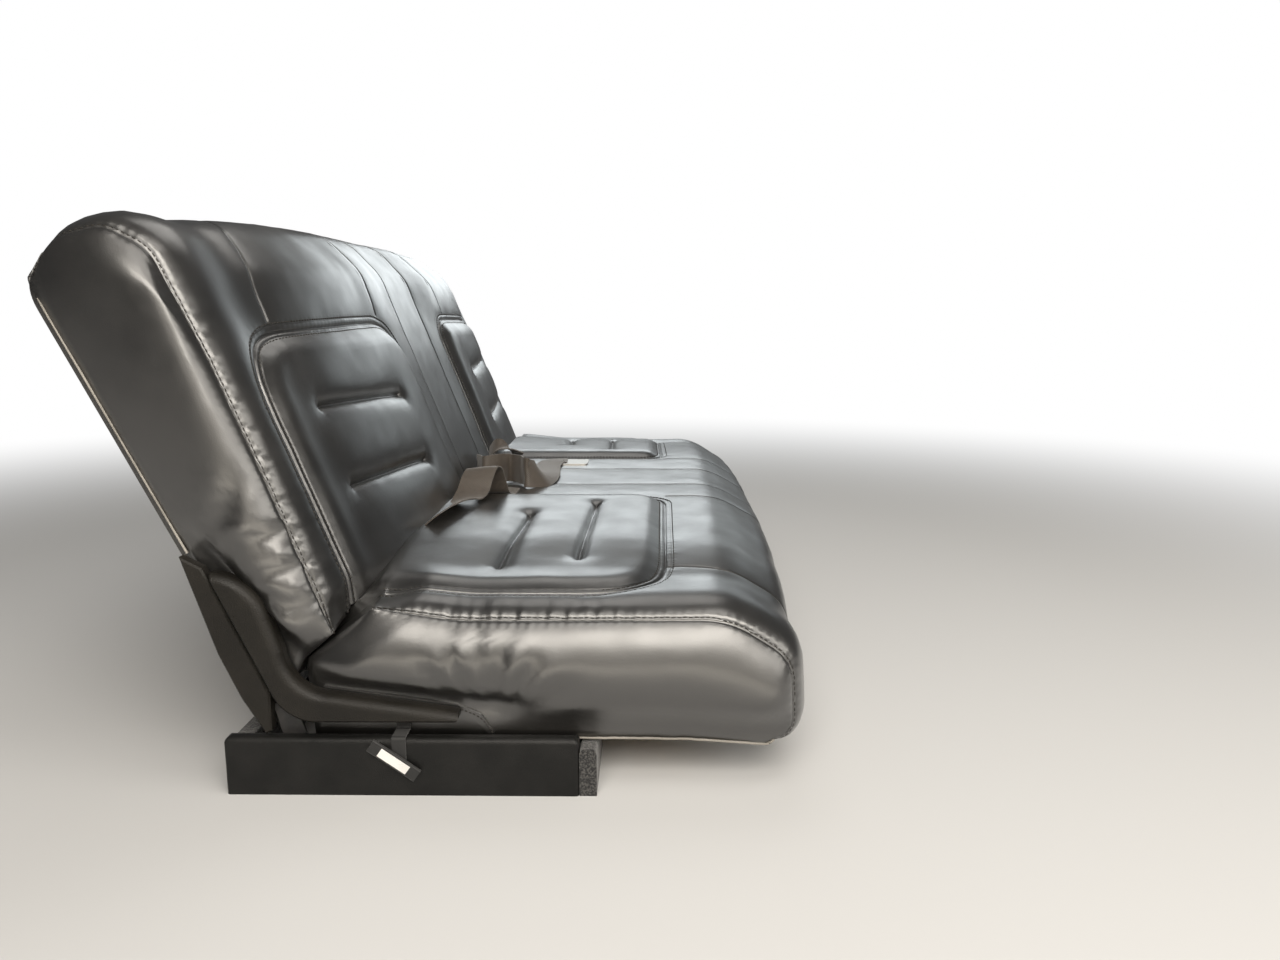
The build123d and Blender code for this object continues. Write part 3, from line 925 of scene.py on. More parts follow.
@dataclass
class PaddedBody:
    """Leather-covered body swept across the seat, with side panels and sewn seams."""

    name: str
    node: str
    half_width: float
    side: Section
    middle: Section
    share_y: Curve      # share of the middle section, by the distance from the side seam
    share_z: Curve
    side_bulge: float = 0.022
    bulge_skew: float = 0.82            # below 1, the bulge sits higher
    bulge_plateau: float = 3.0
    bulge_ends: float = 0.7
    roll: float = 0.0145                # swelling beside the side seam
    roll_reach: float = 0.0135
    roll_fade: Fade = Fade(0.030, 0.090)
    roll_start: Fade = Fade(0.0, 0.05)
    roll_end: Fade = Fade(1.97, -0.3)
    seam_end: Fade = Fade(1.95, -0.2)
    cell: float = 0.009
    refine_reach: tuple[float, ...] = (0.0120, 0.0056, 0.0030)
    across: int = 16
    side_seam_end: float = 2.0          # place round the section
    centre_end: float = 0.60            # distance from the crease
    centre_half: float = 0.078
    insert_rise: float = 0.0085
    insert_shoulder: float = 0.030
    inner_row: float = 0.0062
    outer_row: float = 0.0088
    side_row: float = 0.0034
    inserts: tuple[Insert, ...] = ()
    plain_seams: tuple[Rows, ...] = ()      # inset, distance from the crease, radius
    fans: tuple[FoldFan, ...] = ()
    gathers: Gathers = Gathers()
    unevenness: Rows = ((0.0011, 0.085, 1), (0.0005, 0.030, 2))      # height, size, seed
    stitch_lift: float = 0.0002
    seams: list[Seam] = field(default_factory=list)

    def __post_init__(self) -> None:
        """Samples both sections once."""
        self.side_table = self.side.table()
        self.middle_table = self.middle.table()
        self.v_table = np.linspace(0, 4, len(self.side_table))
        self.top_length = length_of(self.middle.side(0))
        self.lay_seams()

    def lay_seams(self) -> None:
        """Lays all the body's seams on the wrap."""
        half = self.half_width
        v = np.linspace(0, self.side_seam_end, SIDE_SAMPLES)
        for sign in SIGNS:
            for kind, inset in ((SeamKind.SIDE, 0.0), (SeamKind.ROW, self.side_row)):
                x = np.full(len(v), sign * (half - inset))
                self.seams.append(Seam(kind, np.stack([x, v], 1)))
            for rows in self.plain_seams:
                line = line_through([(inset - half, *rest) for inset, *rest in rows])
                self.add(SeamKind.PLAIN, line, sign)
            centre = ((-self.centre_half, 0.0), (-self.centre_half, self.centre_end))
            self.add(SeamKind.PLAIN, line_through(centre), sign)
        for insert in self.inserts:
            border = insert.outline(half)
            self.add(SeamKind.WELT, border, insert.sign)
            self.add(SeamKind.ROW, offset_line(border, self.outer_row), insert.sign)
            self.add(SeamKind.ROW, offset_line(border, -self.inner_row), insert.sign)
            for near_reach, near, far_reach, far in insert.channels:
                line = line_through(((near - half, near_reach), (far - half, far_reach)))
                self.add(SeamKind.CHANNEL, line, insert.sign)

    def add(self, kind: SeamKind, line: np.ndarray, sign: int) -> None:
        """Adds a seam that is drawn for the left seat.

        Args:
            kind: What seam it is.
            line: Points (x, distance from the crease).
            sign: -1 for the left seat, 1 to mirror it to the right one.
        """
        flipped = line * np.array([-sign, 1.0 / self.top_length])
        self.seams.append(Seam(kind, flipped))

    def wrap(self, x: np.ndarray, v: np.ndarray) -> np.ndarray:
        """Places points of the wrap.

        Args:
            x: Place across the seat.
            v: Place round the section, from 0 to 4.

        Returns:
            Points (n, 3).
        """
        inset = self.half_width - np.abs(x)
        shares = (self.share_y.at(inset), self.share_z.at(inset))
        out = [x]
        for axis, share in enumerate(shares):
            low = np.interp(v, self.v_table, self.side_table[:, axis])
            high = np.interp(v, self.v_table, self.middle_table[:, axis])
            out.append(low + (high - low) * share)
        return np.stack(out, 1)

    def panel(self, sign: int, p: np.ndarray, q: np.ndarray) -> np.ndarray:
        """Places points of a side panel.

        Args:
            sign: -1 for the left panel, 1 for the right one.
            p: Place along the section's top, from 0 to 1.
            q: Place from the top down to the bottom, from 0 to 1.

        Returns:
            Points (n, 3).
        """
        def read(v: np.ndarray) -> np.ndarray:
            """Reads the side section."""
            return np.stack([np.interp(v, self.v_table, column)
                             for column in self.side_table.T], 1)

        top, front = read(p), read(1 + q)
        bottom, rear = read(3 - p), read(4 - q)
        p1, q1 = p[:, None], q[:, None]
        corners = read(np.array([0.0, 1.0, 2.0, 3.0]))
        flat = ((1 - q1) * top + q1 * bottom + (1 - p1) * rear + p1 * front
                - (1 - p1) * (1 - q1) * corners[0] - p1 * (1 - q1) * corners[1]
                - p1 * q1 * corners[2] - (1 - p1) * q1 * corners[3])
        return np.column_stack([np.full(len(p), sign * self.half_width), flat])

    def place(self, params: np.ndarray) -> np.ndarray:
        """Places points of all three islands.

        Args:
            params: Rows of (a, b, island): (x, v, 0) or (p, q, -1 or 1).

        Returns:
            Points (n, 3).
        """
        out = np.zeros((len(params), 3))
        island = np.round(params[:, 2]).astype(int)
        on = island == Island.WRAP.value
        out[on] = self.wrap(params[on, 0], params[on, 1])
        for part in (Island.LEFT, Island.RIGHT):
            on = island == part.value
            out[on] = self.panel(part.value, params[on, 0], params[on, 1])
        return out

    def blank(self) -> bmesh.types.BMesh:
        """Makes the even starting grid, with its corners at (a, b, island).

        Returns:
            The grid, three islands side by side.
        """
        along = max(8, int(self.top_length / self.cell))
        wide = int(2 * self.half_width / self.cell)
        v_lines = np.concatenate([k + np.linspace(0, 1, n + 1)[:-1]
                                  for k, n in enumerate((along, self.across) * 2)] + [[4.0]])
        x_lines = np.linspace(-self.half_width, self.half_width, wide + 1)
        p_lines = np.linspace(0, 1, along + 1)
        q_lines = np.linspace(0, 1, self.across + 1)
        bm = bmesh.new()
        for a_lines, b_lines, island in ((x_lines, v_lines, Island.WRAP),
                                         (p_lines, q_lines, Island.LEFT),
                                         (p_lines, q_lines, Island.RIGHT)):
            rows = [[bm.verts.new((a, b, island.value)) for b in b_lines] for a in a_lines]
            for first, second in zip(rows, rows[1:]):
                for i in range(len(b_lines) - 1):
                    bm.faces.new((first[i], second[i], second[i + 1], first[i + 1]))
        return bm

    def refine(self, bm: bmesh.types.BMesh, seams: SeamField) -> None:
        """Splits the grid into finer cells near the seams.

        Args:
            bm: The grid, with its corners at (a, b, island).
            seams: Distances to all the seams.
        """
        for reach in self.refine_reach:
            bm.verts.index_update()
            points = self.place(np.array([v.co[:] for v in bm.verts]))
            faces = list(bm.faces)
            centres = np.array([points[[v.index for v in f.verts]].mean(0) for f in faces])
            near = seams.nearest(centres)[0] < reach
            edges = {edge for face, close in zip(faces, near) if close for edge in face.edges}
            bmesh.ops.subdivide_edges(bm, edges=list(edges), cuts=1, use_grid_fill=True)

    def lines_of(self, *kinds: SeamKind) -> list[np.ndarray]:
        """Gives the seams of some kinds as lines on the plain surface."""
        return [self.wrap(s.points[:, 0], s.points[:, 1]) for s in self.seams if s.kind in kinds]

    def inside_inserts(self, x: np.ndarray, v: np.ndarray) -> np.ndarray:
        """Tells which points of the wrap lie on a raised insert.

        Args:
            x: Place across the seat.
            v: Place round the section.

        Returns:
            True on an insert.
        """
        distance = np.where(v > 3.0, v - 4.0, v) * self.top_length
        hit = np.zeros(len(x), bool)
        for insert in self.inserts:
            ring = insert.outline(self.half_width)
            ring = np.concatenate([[[ring[0, 0], PAST_CREASE]], ring,
                                   [[ring[-1, 0], PAST_CREASE]]])
            hit |= inside(np.stack([-insert.sign * x, distance], 1), ring)
        return hit

    def free_side(self, points: np.ndarray) -> np.ndarray:
        """Tells how free a side panel is to bulge, from 0 behind the shield to 1."""
        raise NotImplementedError

    def fold_room(self, points: np.ndarray) -> np.ndarray:
        """Tells how far a side panel's folds may show, from 0 to 1."""
        return self.free_side(points)

    def side_relief(self, points: np.ndarray, p: np.ndarray, q: np.ndarray) -> np.ndarray:
        """Works out a side panel's bulge and its creases.

        Args:
            points: Points on the side panel.
            p: Their place along the top, from 0 to 1.
            q: Their place from top to bottom, from 0 to 1.

        Returns:
            Distances outwards.
        """
        across = np.sin(math.pi * np.clip(q, 0, 1) ** self.bulge_skew)
        along = np.clip(4 * p * (1 - p) * self.bulge_plateau, 0, 1) ** self.bulge_ends
        height = self.side_bulge * across * along * self.free_side(points)
        for fan in self.fans:
            height += fan.relief(points) * self.fold_room(points)
        return height

    def body_relief(self, points: np.ndarray, params: np.ndarray,
                    gap: dict[SeamKind, np.ndarray], run: dict[SeamKind, np.ndarray]) -> np.ndarray:
        """Works out the inserts' rise, the side panels' bulge and soft unevenness.

        Args:
            points: Points on the plain surface.
            params: Their (a, b, island).
            gap: Distance to the nearest seam of each kind.
            run: Place along that seam.

        Returns:
            Distances outwards.
        """
        on_wrap = np.round(params[:, 2]) == Island.WRAP.value
        sides = ~on_wrap
        raised = np.zeros(len(points), bool)
        raised[on_wrap] = self.inside_inserts(params[on_wrap, 0], params[on_wrap, 1])
        rise = self.insert_rise * smoothstep(gap[SeamKind.WELT] / self.insert_shoulder)
        height = np.where(raised, rise, 0.0)
        side_gap, side_run = gap[SeamKind.SIDE], run[SeamKind.SIDE]
        rise = 1 - np.exp(-side_gap / self.roll_reach)
        rise *= 1 - self.roll_fade.at(side_gap)
        ends = self.roll_start.at(side_run) * self.roll_end.at(params[:, 1])
        height += self.roll * rise * ends * on_wrap
        height[sides] += self.side_relief(points[sides], params[sides, 0], params[sides, 1])
        height += sum(high * lumps(points, size, seed) for high, size, seed in self.unevenness)
        return height + self.gathers.relief(points, side_gap, side_run) * on_wrap

    def relief(self, points: np.ndarray, params: np.ndarray) -> np.ndarray:
        """Works out how far each point moves along its normal.

        Args:
            points: Points on the plain surface.
            params: Their (a, b, island).

        Returns:
            Distances outwards.
        """
        height = np.zeros(len(points))
        on_wrap = np.round(params[:, 2]) == Island.WRAP.value
        ends = self.seam_end.at(np.where(on_wrap, params[:, 1], 0.0))
        gaps: dict[SeamKind, np.ndarray] = {}
        runs: dict[SeamKind, np.ndarray] = {}
        for kind, cut in SEAM_CUTS.items():
            gaps[kind], runs[kind] = SeamField(self.lines_of(kind)).nearest(points)
            depth = cut.depth(gaps[kind])
            height -= depth * ends if kind is SeamKind.SIDE else depth
            if cut.pucker:
                height += cut.puckers(gaps[kind], runs[kind]) * ends
        return height + self.body_relief(points, params, gaps, runs)

    def build(self) -> bpy.types.Object:
        """Makes the body's mesh.

        Returns:
            The finished object, at the origin.
        """
        bm = self.blank()
        self.refine(bm, SeamField(self.lines_of(*SeamKind), SEAM_SPACING))
        params = np.array([v.co[:] for v in bm.verts])
        points = self.place(params)
        layers = [bm.verts.layers.float.new(name) for name in PLACE_LAYERS]
        for vert, row, point in zip(bm.verts, params.tolist(), points.tolist()):
            for layer, value in zip(layers, row):
                vert[layer] = value
            vert.co = point
        bmesh.ops.remove_doubles(bm, verts=bm.verts, dist=MERGE_DISTANCE)
        bmesh.ops.recalc_face_normals(bm, faces=bm.faces)
        bm.normal_update()
        points = np.array([v.co[:] for v in bm.verts])
        normals = np.array([v.normal[:] for v in bm.verts])
        params = np.array([[v[layer] for layer in layers] for v in bm.verts])
        moved = points + normals * self.relief(points, params)[:, None]
        for vert, point in zip(bm.verts, moved.tolist()):
            vert.co = point
        for name in PLACE_LAYERS:
            bm.verts.layers.float.remove(bm.verts.layers.float[name])
        mesh = bpy.data.meshes.new(self.name)
        bm.to_mesh(mesh)
        self.surface = BVHTree.FromBMesh(bm)
        bm.free()
        piece = finish_mesh(self.name, mesh, LEATHER)
        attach(piece, "seat")
        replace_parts(piece, self.node)
        report(piece)
        self.sew()
        return piece

    def on_surface(self, line: np.ndarray, lift: float) -> np.ndarray:
        """Lays a line on the finished leather.

        Args:
            line: Points (n, 3) near the leather.
            lift: How far above the leather the line lies.

        Returns:
            Points (n, 3).
        """
        out = []
        for point in line.tolist():
            place, normal, _, _ = self.surface.find_nearest(point)
            out.append(place + normal * lift)
        return np.array(out)

    def sew(self) -> bpy.types.Object:
        """Sews the visible rows of stitches.

        Returns:
            The stitches as one object.
        """
        lines = [self.on_surface(evenly(line, max(8, int(length_of(line) / SEAM_SPACING))),
                                 self.stitch_lift)
                 for line in self.lines_of(SeamKind.ROW)]
        return StitchRun().lay(f"{self.name}_stitches", lines, THREAD, "leather")


CUSHION_HEEL, CUSHION_CREASE = (0.104, 0.057), (0.110, 0.144)      # y, z
BACK_HEEL, BACK_CREASE = (0.126, 0.118), (0.1125, 0.145)
BACK_REAR_FOOT, BACK_REAR_TOP = (0.1597, 0.118), (0.3705, 0.546)


@dataclass
class SeatCushion(PaddedBody):
    """Bench cushion: its side panels end behind the shields' arms."""

    name: str = "cushion_cover"
    node: str = "cushion"
    half_width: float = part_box("cushion")[1].x
    side: Section = Section(
        top=((0.035, 0.203), (-0.055, 0.189, 0.25), (-0.345, 0.1905, 0.100),
             (-0.4130, 0.148, 0.058), (-0.4160, 0.098)),
        front=((-0.4160, 0.098), (-0.4165, 0.064, 0.032), (-0.388, 0.050)),
        bottom=((-0.388, 0.050), (-0.300, 0.056, 0.2), CUSHION_HEEL),
        rear=(CUSHION_HEEL, CUSHION_CREASE, (0.035, 0.203)))
    middle: Section = Section(
        top=((0.044, 0.231), (-0.364, 0.231, 0.12), (-0.437, 0.189, 0.06), (-0.441, 0.142)),
        front=((-0.441, 0.142), (-0.445, 0.095, 0.055), (-0.402, 0.054)),
        bottom=((-0.402, 0.054), (-0.300, 0.057, 0.1), CUSHION_HEEL),
        rear=(CUSHION_HEEL, CUSHION_CREASE, (0.044, 0.231)))
    share_y: Curve = Curve(((0, 0), (0.05, 0.22), (0.10, 0.44), (0.30, 0.74), (0.60, 1.0),
                            (0.68, 1.0)))
    share_z: Curve = Curve(((0, 0), (0.055, 0.24), (0.13, 0.57), (0.20, 0.82), (0.275, 0.93),
                            (0.40, 1.04), (0.49, 1.04), (0.61, 0.98), (0.68, 0.96)))
    inserts: tuple[Insert, ...] = tuple(
        Insert(sign, outer=0.046, inner=0.480, reach=0.327, outer_radius=0.105,
               inner_radius=0.050,
               channels=((0.123, 0.124, 0.136, 0.335), (0.219, 0.150, 0.226, 0.402)))
        for sign in SIGNS)
    plain_seams: tuple[Rows, ...] = (
        ((0.141, 0.330), (0.130, 0.390, 0.1), (0.128, 0.470, 0.1), (0.108, 0.535)),
        ((0.488, 0.330), (0.486, 0.540)))
    fans: tuple[FoldFan, ...] = (FoldFan((-0.098, 0.070), (
        (-0.012, 0.152, 0.0048, 0.0095), (-0.044, 0.164, 0.0072, 0.0085),
        (-0.074, 0.176, 0.0088, 0.0080), (-0.102, 0.172, 0.0076, 0.0085),
        (-0.140, 0.156, 0.0064, 0.0100), (-0.190, 0.132, 0.0036, 0.0130))),)
    arm_height: float = 0.101
    arm_rise: float = 0.15
    arm_bend: float = -0.054
    arm_span: tuple[float, float] = (-0.02, 0.15)      # how far past the bend the arm rises
    arm_clearance: float = 0.016
    before_arm: Fade = Fade(-0.085, -0.07)
    above_hem: Fade = Fade(0.056, 0.05)
    fold_start: Fade = Fade(0.080, 0.022)

    def free_side(self, points: np.ndarray) -> np.ndarray:
        """Keeps the leather flat behind the shield's arm and along the bottom edge.

        Args:
            points: Points on a side panel.

        Returns:
            How free each point is, from 0 to 1.
        """
        y, z = points[:, 1], points[:, 2]
        edge = self.arm_height + self.arm_rise * np.clip(y - self.arm_bend, *self.arm_span)
        rear = smoothstep((z - edge) / self.arm_clearance)
        return np.maximum(rear, self.before_arm.at(y) * self.above_hem.at(z))

    def fold_room(self, points: np.ndarray) -> np.ndarray:
        """Lets the folds run down to the end of the shield's arm."""
        return self.fold_start.at(points[:, 2])


@dataclass
class SeatBackrest(PaddedBody):
    """Backrest: its side panels end behind the shields' tips."""

    name: str = "backrest_cover"
    node: str = "backrest"
    half_width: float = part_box("backrest")[1].x
    side: Section = Section(
        top=((0.079, 0.173), (0.140, 0.336, 0.5), (0.192, 0.467, 0.5), (0.2125, 0.511)),
        front=((0.2125, 0.511), (0.243, 0.577, 0.05), (0.286, 0.600, 0.04),
               (0.340, 0.588, 0.04), (0.364, 0.551)),
        bottom=((0.364, 0.551), (0.3700, 0.545), BACK_REAR_FOOT),
        rear=(BACK_REAR_FOOT, BACK_HEEL, BACK_CREASE, (0.079, 0.173)))
    middle: Section = Section(
        top=((0.0450, 0.2315), (0.145, 0.486, 0.1), (0.1600, 0.524)),
        front=((0.1600, 0.524), (0.178, 0.570, 0.08), (0.236, 0.632, 0.075),
               (0.330, 0.627, 0.05), BACK_REAR_TOP),
        bottom=(BACK_REAR_TOP, (0.265, 0.332, 0.1), BACK_REAR_FOOT),
        rear=(BACK_REAR_FOOT, BACK_HEEL, BACK_CREASE, (0.0450, 0.2315)))
    share_y: Curve = Curve(((0, 0), (0.06, 0.24), (0.14, 0.74), (0.275, 1.12), (0.40, 1.19),
                            (0.50, 1.22), (0.56, 1.09), (0.62, 1.0), (0.68, 1.0)))
    share_z: Curve = Curve(((0, 0), (0.06, 0.30), (0.14, 0.60), (0.275, 0.86), (0.40, 0.97),
                            (0.68, 1.02)))
    side_bulge: float = 0.020
    inserts: tuple[Insert, ...] = tuple(
        Insert(sign, outer=0.051, inner=0.522, reach=0.288, outer_radius=0.085,
               inner_radius=inner_radius,
               channels=((0.198, 0.139, 0.178, 0.400), (0.104, 0.135, 0.078, 0.392)))
        for sign, inner_radius in zip(SIGNS, (0.110, 0.055)))
    plain_seams: tuple[Rows, ...] = (
        ((0.122, 0.300), (0.122, 0.345, 0.1), (0.150, 0.424, 0.1), (0.200, 0.510)),
        ((0.452, 0.300), (0.456, 0.345, 0.1), (0.474, 0.400, 0.1), (0.480, 0.510)))
    fans: tuple[FoldFan, ...] = (FoldFan((0.212, 0.246), (
        (0.113, 0.292, 0.0072, 0.0105), (0.104, 0.246, 0.0085, 0.0105),
        (0.102, 0.203, 0.0100, 0.0110), (0.160, 0.350, 0.0040, 0.0120))),)
    tip: tuple[float, float] = (0.202, 0.246)      # y, z
    tip_slope: float = 1.1
    tip_top: float = 0.262
    above_tip: Fade = Fade(0.004, 0.03)

    def free_side(self, points: np.ndarray) -> np.ndarray:
        """Keeps the leather flat behind the shield's tip."""
        edge = self.tip[1] + self.tip_slope * (points[:, 1] - self.tip[0])
        return self.above_tip.at(points[:, 2] - np.minimum(edge, self.tip_top))


# Stitches, piping and belts

def line_mesh(name: str, lines: Sequence[np.ndarray]) -> bpy.types.Mesh:
    """Makes a mesh of edges along some lines.

    Args:
        name: The mesh's name.
        lines: Points (n, 3) of each line.

    Returns:
        The mesh.
    """
    points, edges = [], []
    for line in lines:
        first = len(points)
        points += line.tolist()
        edges += [(i, i + 1) for i in range(first, len(points) - 1)]
    mesh = bpy.data.meshes.new(name)
    mesh.from_pydata(points, edges, [])
    return mesh


def run_tree(name: str, mesh: bpy.types.Mesh, tree: bpy.types.NodeTree,
             inputs: dict[str, object]) -> bpy.types.Object:
    """Runs a geometry tree on a mesh and keeps its result as a plain mesh.

    Args:
        name: The piece's name.
        mesh: The mesh that goes in.
        tree: The tree.
        inputs: Values of the tree's inputs by name.

    Returns:
        An object at the origin with the result.
    """
    source = bpy.data.objects.new(name, mesh)
    bpy.context.scene.collection.objects.link(source)
    modifier = source.modifiers.new(tree.name, "NODES")
    modifier.node_group = tree
    for item in tree.interface.items_tree:
        if item.in_out == "INPUT" and item.name in inputs:
            modifier[item.identifier] = inputs[item.name]
    ready = source.evaluated_get(bpy.context.evaluated_depsgraph_get())
    result = bpy.data.meshes.new_from_object(ready)
    source.modifiers.clear()
    source.data = result
    bpy.data.meshes.remove(mesh)
    return source


@dataclass(frozen=True)
class LineRun:
    """Base of what a node tree makes along lines."""

    tree_name: ClassVar[str]
    inputs: ClassVar[dict[str, str]]      # each size's name and its socket's kind

    def shape(self, sheet: NodeSheet, curve: Socket,
              sizes: bpy.types.NodeOutputs) -> Socket:
        """Adds the nodes that turn a curve into the shape.

        Args:
            sheet: The tree.
            curve: Socket with the curve.
            sizes: The tree's inputs by name.

        Returns:
            The shape's socket.
        """
        raise NotImplementedError

    def tree(self) -> bpy.types.NodeTree:
        """Builds the node tree, or gives the one made before.

        Returns:
            A tree that turns lines of edges into the shape with its material.
        """
        made = bpy.data.node_groups.get(self.tree_name)
        if made is not None:
            return made
        tree = bpy.data.node_groups.new(self.tree_name, "GeometryNodeTree")
        kinds = {"Geometry": "Geometry", **self.inputs, "Material": "Material"}
        for name, kind in kinds.items():
            tree.interface.new_socket(name=name, in_out="INPUT",
                                      socket_type=f"NodeSocket{kind}")
        tree.interface.new_socket(name="Geometry", in_out="OUTPUT",
                                  socket_type="NodeSocketGeometry")
        sheet = NodeSheet(tree)
        sizes = sheet.add("NodeGroupInput").outputs
        curve = sheet.add("GeometryNodeMeshToCurve", Mesh=sizes["Geometry"])
        shape = self.shape(sheet, curve.outputs[0], sizes)
        smooth = sheet.add("GeometryNodeSetShadeSmooth", Geometry=shape)
        real = sheet.add("GeometryNodeRealizeInstances", Geometry=smooth.outputs[0])
        dressed = sheet.add("GeometryNodeSetMaterial", Geometry=real.outputs[0],
                            Material=sizes["Material"])
        sheet.add("NodeGroupOutput", Geometry=dressed.outputs[0])
        return tree

    def lay(self, name: str, lines: Sequence[np.ndarray], finish: Finish,
            slot: str) -> bpy.types.Object:
        """Makes the piece.

        Args:
            name: Its name.
            lines: Points (n, 3) of each line.
            finish: Its finish.
            slot: Not used.

        Returns:
            One plain mesh object, riding on the seat.
        """
        values = {key: getattr(self, key.lower()) for key in self.inputs}
        values["Material"] = finish.build()
        piece = run_tree(name, line_mesh(name, lines), self.tree(), values)
        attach(piece, "seat")
        report(piece)
        return piece


@dataclass(frozen=True)
class StitchRun(LineRun):
    """Thread stitches along lines."""

    tree_name: ClassVar[str] = "stitch_run"
    inputs: ClassVar[dict[str, str]] = {"Pitch": "Float", "Length": "Float", "Width": "Float"}
    pitch: float = 0.0062
    length: float = 0.0052
    width: float = 0.0015

    def shape(self, sheet: NodeSheet, curve: Socket,
              sizes: bpy.types.NodeOutputs) -> Socket:
        """Puts a small capsule along the curve at each pitch.

        Args:
            sheet: The tree.
            curve: Socket with the curve.
            sizes: The tree's inputs by name.

        Returns:
            The stitches' socket.
        """
        spaced = sheet.add("GeometryNodeResampleCurve", {"mode": "LENGTH"},
                           Curve=curve, Length=sizes["Pitch"])
        capsule = sheet.add("GeometryNodeMeshUVSphere", Segments=6, Rings=4, Radius=0.5)
        scale = sheet.add("ShaderNodeCombineXYZ", X=sizes["Length"], Y=sizes["Width"],
                          Z=sizes["Width"])
        tangent = sheet.add("GeometryNodeInputTangent")
        turn = sheet.add("FunctionNodeAlignRotationToVector", {"axis": "X"},
                         Vector=tangent.outputs[0])
        placed = sheet.add("GeometryNodeInstanceOnPoints", Points=spaced.outputs[0],
                           Instance=capsule.outputs[0], Rotation=turn.outputs[0],
                           Scale=scale.outputs[0])
        real = sheet.add("GeometryNodeRealizeInstances", Geometry=placed.outputs[0])
        return real.outputs[0]


@dataclass(frozen=True)
class BeadRun(LineRun):
    """Round bead along lines."""

    tree_name: ClassVar[str] = "bead_run"
    inputs: ClassVar[dict[str, str]] = {"Radius": "Float", "Sides": "Int"}
    radius: float
    sides: int = 10

    def shape(self, sheet: NodeSheet, curve: Socket,
              sizes: bpy.types.NodeOutputs) -> Socket:
        """Sweeps a circle along the curve.

        Args:
            sheet: The tree.
            curve: Socket with the curve.
            sizes: The tree's inputs by name.

        Returns:
            The bead's socket.
        """
        circle = sheet.add("GeometryNodeCurvePrimitiveCircle", Resolution=sizes["Sides"],
                           Radius=sizes["Radius"])
        tube = sheet.add("GeometryNodeCurveToMesh", Curve=curve,
                         Profile_Curve=circle.outputs[0], Fill_Caps=True)
        return tube.outputs[0]


@dataclass(frozen=True)
class Ribbon:
    """Slack belt webbing that lies on the cushion in loops."""

    name: str
    rows: Rows      # x, y, height over the cushion, and the width's direction x, y, z
    width: float = 0.047
    thickness: float = 0.0016
    stations: int = 110
    across: int = 9
    camber: float = 0.0012
    edge_angle: float = 50.0
    above_seat: float = 0.6      # height from which the cushion is looked for

    def line(self, surface: BVHTree) -> np.ndarray:
        """Draws the middle of the strap and its width's direction.

        Args:
            surface: The cushion's leather.

        Returns:
            Rows (n, 6) of points and directions.
        """
        rows = []
        for x, y, height, *width in self.rows:
            ground = surface.ray_cast((x, y, self.above_seat), (0, 0, -1))[0]
            rows.append((x, y, ground.z + height, *width))
        table = np.array(rows)
        along = distances(table[:, :3])
        wanted = np.linspace(0, along[-1], self.stations)
        return np.stack([Curve(tuple(zip(along, column))).at(wanted) for column in table.T], 1)

    def skin(self, line: np.ndarray) -> tuple[list[np.ndarray], list[tuple[float, float]]]:
        """Places the strap's points, one ring at each station.

        Args:
            line: Rows (n, 6) of middle points and width directions.

        Returns:
            The points, and each one's place across and along the strap.
        """
        middle, side = line[:, :3], line[:, 3:]
        along = np.gradient(middle, axis=0)
        along /= np.linalg.norm(along, axis=1)[:, None]
        side -= along * (side * along).sum(1)[:, None]
        side /= np.linalg.norm(side, axis=1)[:, None]
        up = np.cross(along, side)
        share = np.linspace(-1, 1, self.across)
        ring = [(u, 0.5) for u in share] + [(u, -0.5) for u in share[::-1]]
        points, own = [], []
        for centre, across, normal, run in zip(middle, side, up, distances(middle)):
            for u, layer in ring:
                lift = layer * self.thickness - self.camber * u * u
                points.append(centre + across * u * self.width / 2 + normal * lift)
                own.append((u * self.width / 2, run))
        return points, own

    def faces(self) -> list[tuple[int, ...]]:
        """Joins the rings and closes both ends.

        Returns:
            Point numbers of each face.
        """
        size, last = 2 * self.across, (self.stations - 1) * 2 * self.across
        faces = []
        for first in range(0, last, size):
            for i in range(size):
                a, b = first + i, first + (i + 1) % size
                faces.append((a, b, b + size, a + size))
        return [*faces, tuple(reversed(range(size))), tuple(range(last, last + size))]

    def build(self, surface: BVHTree) -> bpy.types.Object:
        """Makes the strap.

        Args:
            surface: The cushion's leather.

        Returns:
            A closed strap with coordinates in metres along and across it.
        """
        points, own = self.skin(self.line(surface))
        piece = mesh_object(self.name, points, self.faces(), BELT)
        bm = bmesh.new()
        bm.from_mesh(piece.data)
        bmesh.ops.recalc_face_normals(bm, faces=bm.faces)
        layer = bm.loops.layers.uv.new("strap")
        for face in bm.faces:
            for loop in face.loops:
                loop[layer].uv = own[loop.vert.index]
        bm.to_mesh(piece.data)
        bm.free()
        piece.data.set_sharp_from_angle(angle=math.radians(self.edge_angle))
        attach(piece, "seat")
        report(piece)
        return piece


# Studio

BLACK, WHITE = (0.0, 0.0, 0.0), (1.0, 1.0, 1.0)


@dataclass(frozen=True)
class PaleFloor(Finish):
    """Pale matt floor that turns into the white background with distance."""

    tone: float = 0.64
    roughness: float = 0.9
    fade_start: float = 1.1
    fade_end: float = 3.2

    def dress(self, paint: Paint) -> None:
        """Fades the floor's own colour into a white glow that only the camera sees.

        Args:
            paint: The material's nodes.
        """
        away = paint.add("ShaderNodeVectorMath", {"operation": "LENGTH"}, Vector=paint.place)
        fade = paint.ramp(away.outputs["Value"], self.fade_start, self.fade_end)
        path = paint.add("ShaderNodeLightPath")
        seen = paint.math("MULTIPLY", fade, path.outputs["Is Camera Ray"])
        pale = rgba((self.tone, self.tone, self.tone))
        paint.set(Base_Color=paint.mix(seen, pale, rgba(BLACK)), Roughness=self.roughness,
                  Specular_IOR_Level=0.0, Emission_Color=rgba(WHITE), Emission_Strength=seen)


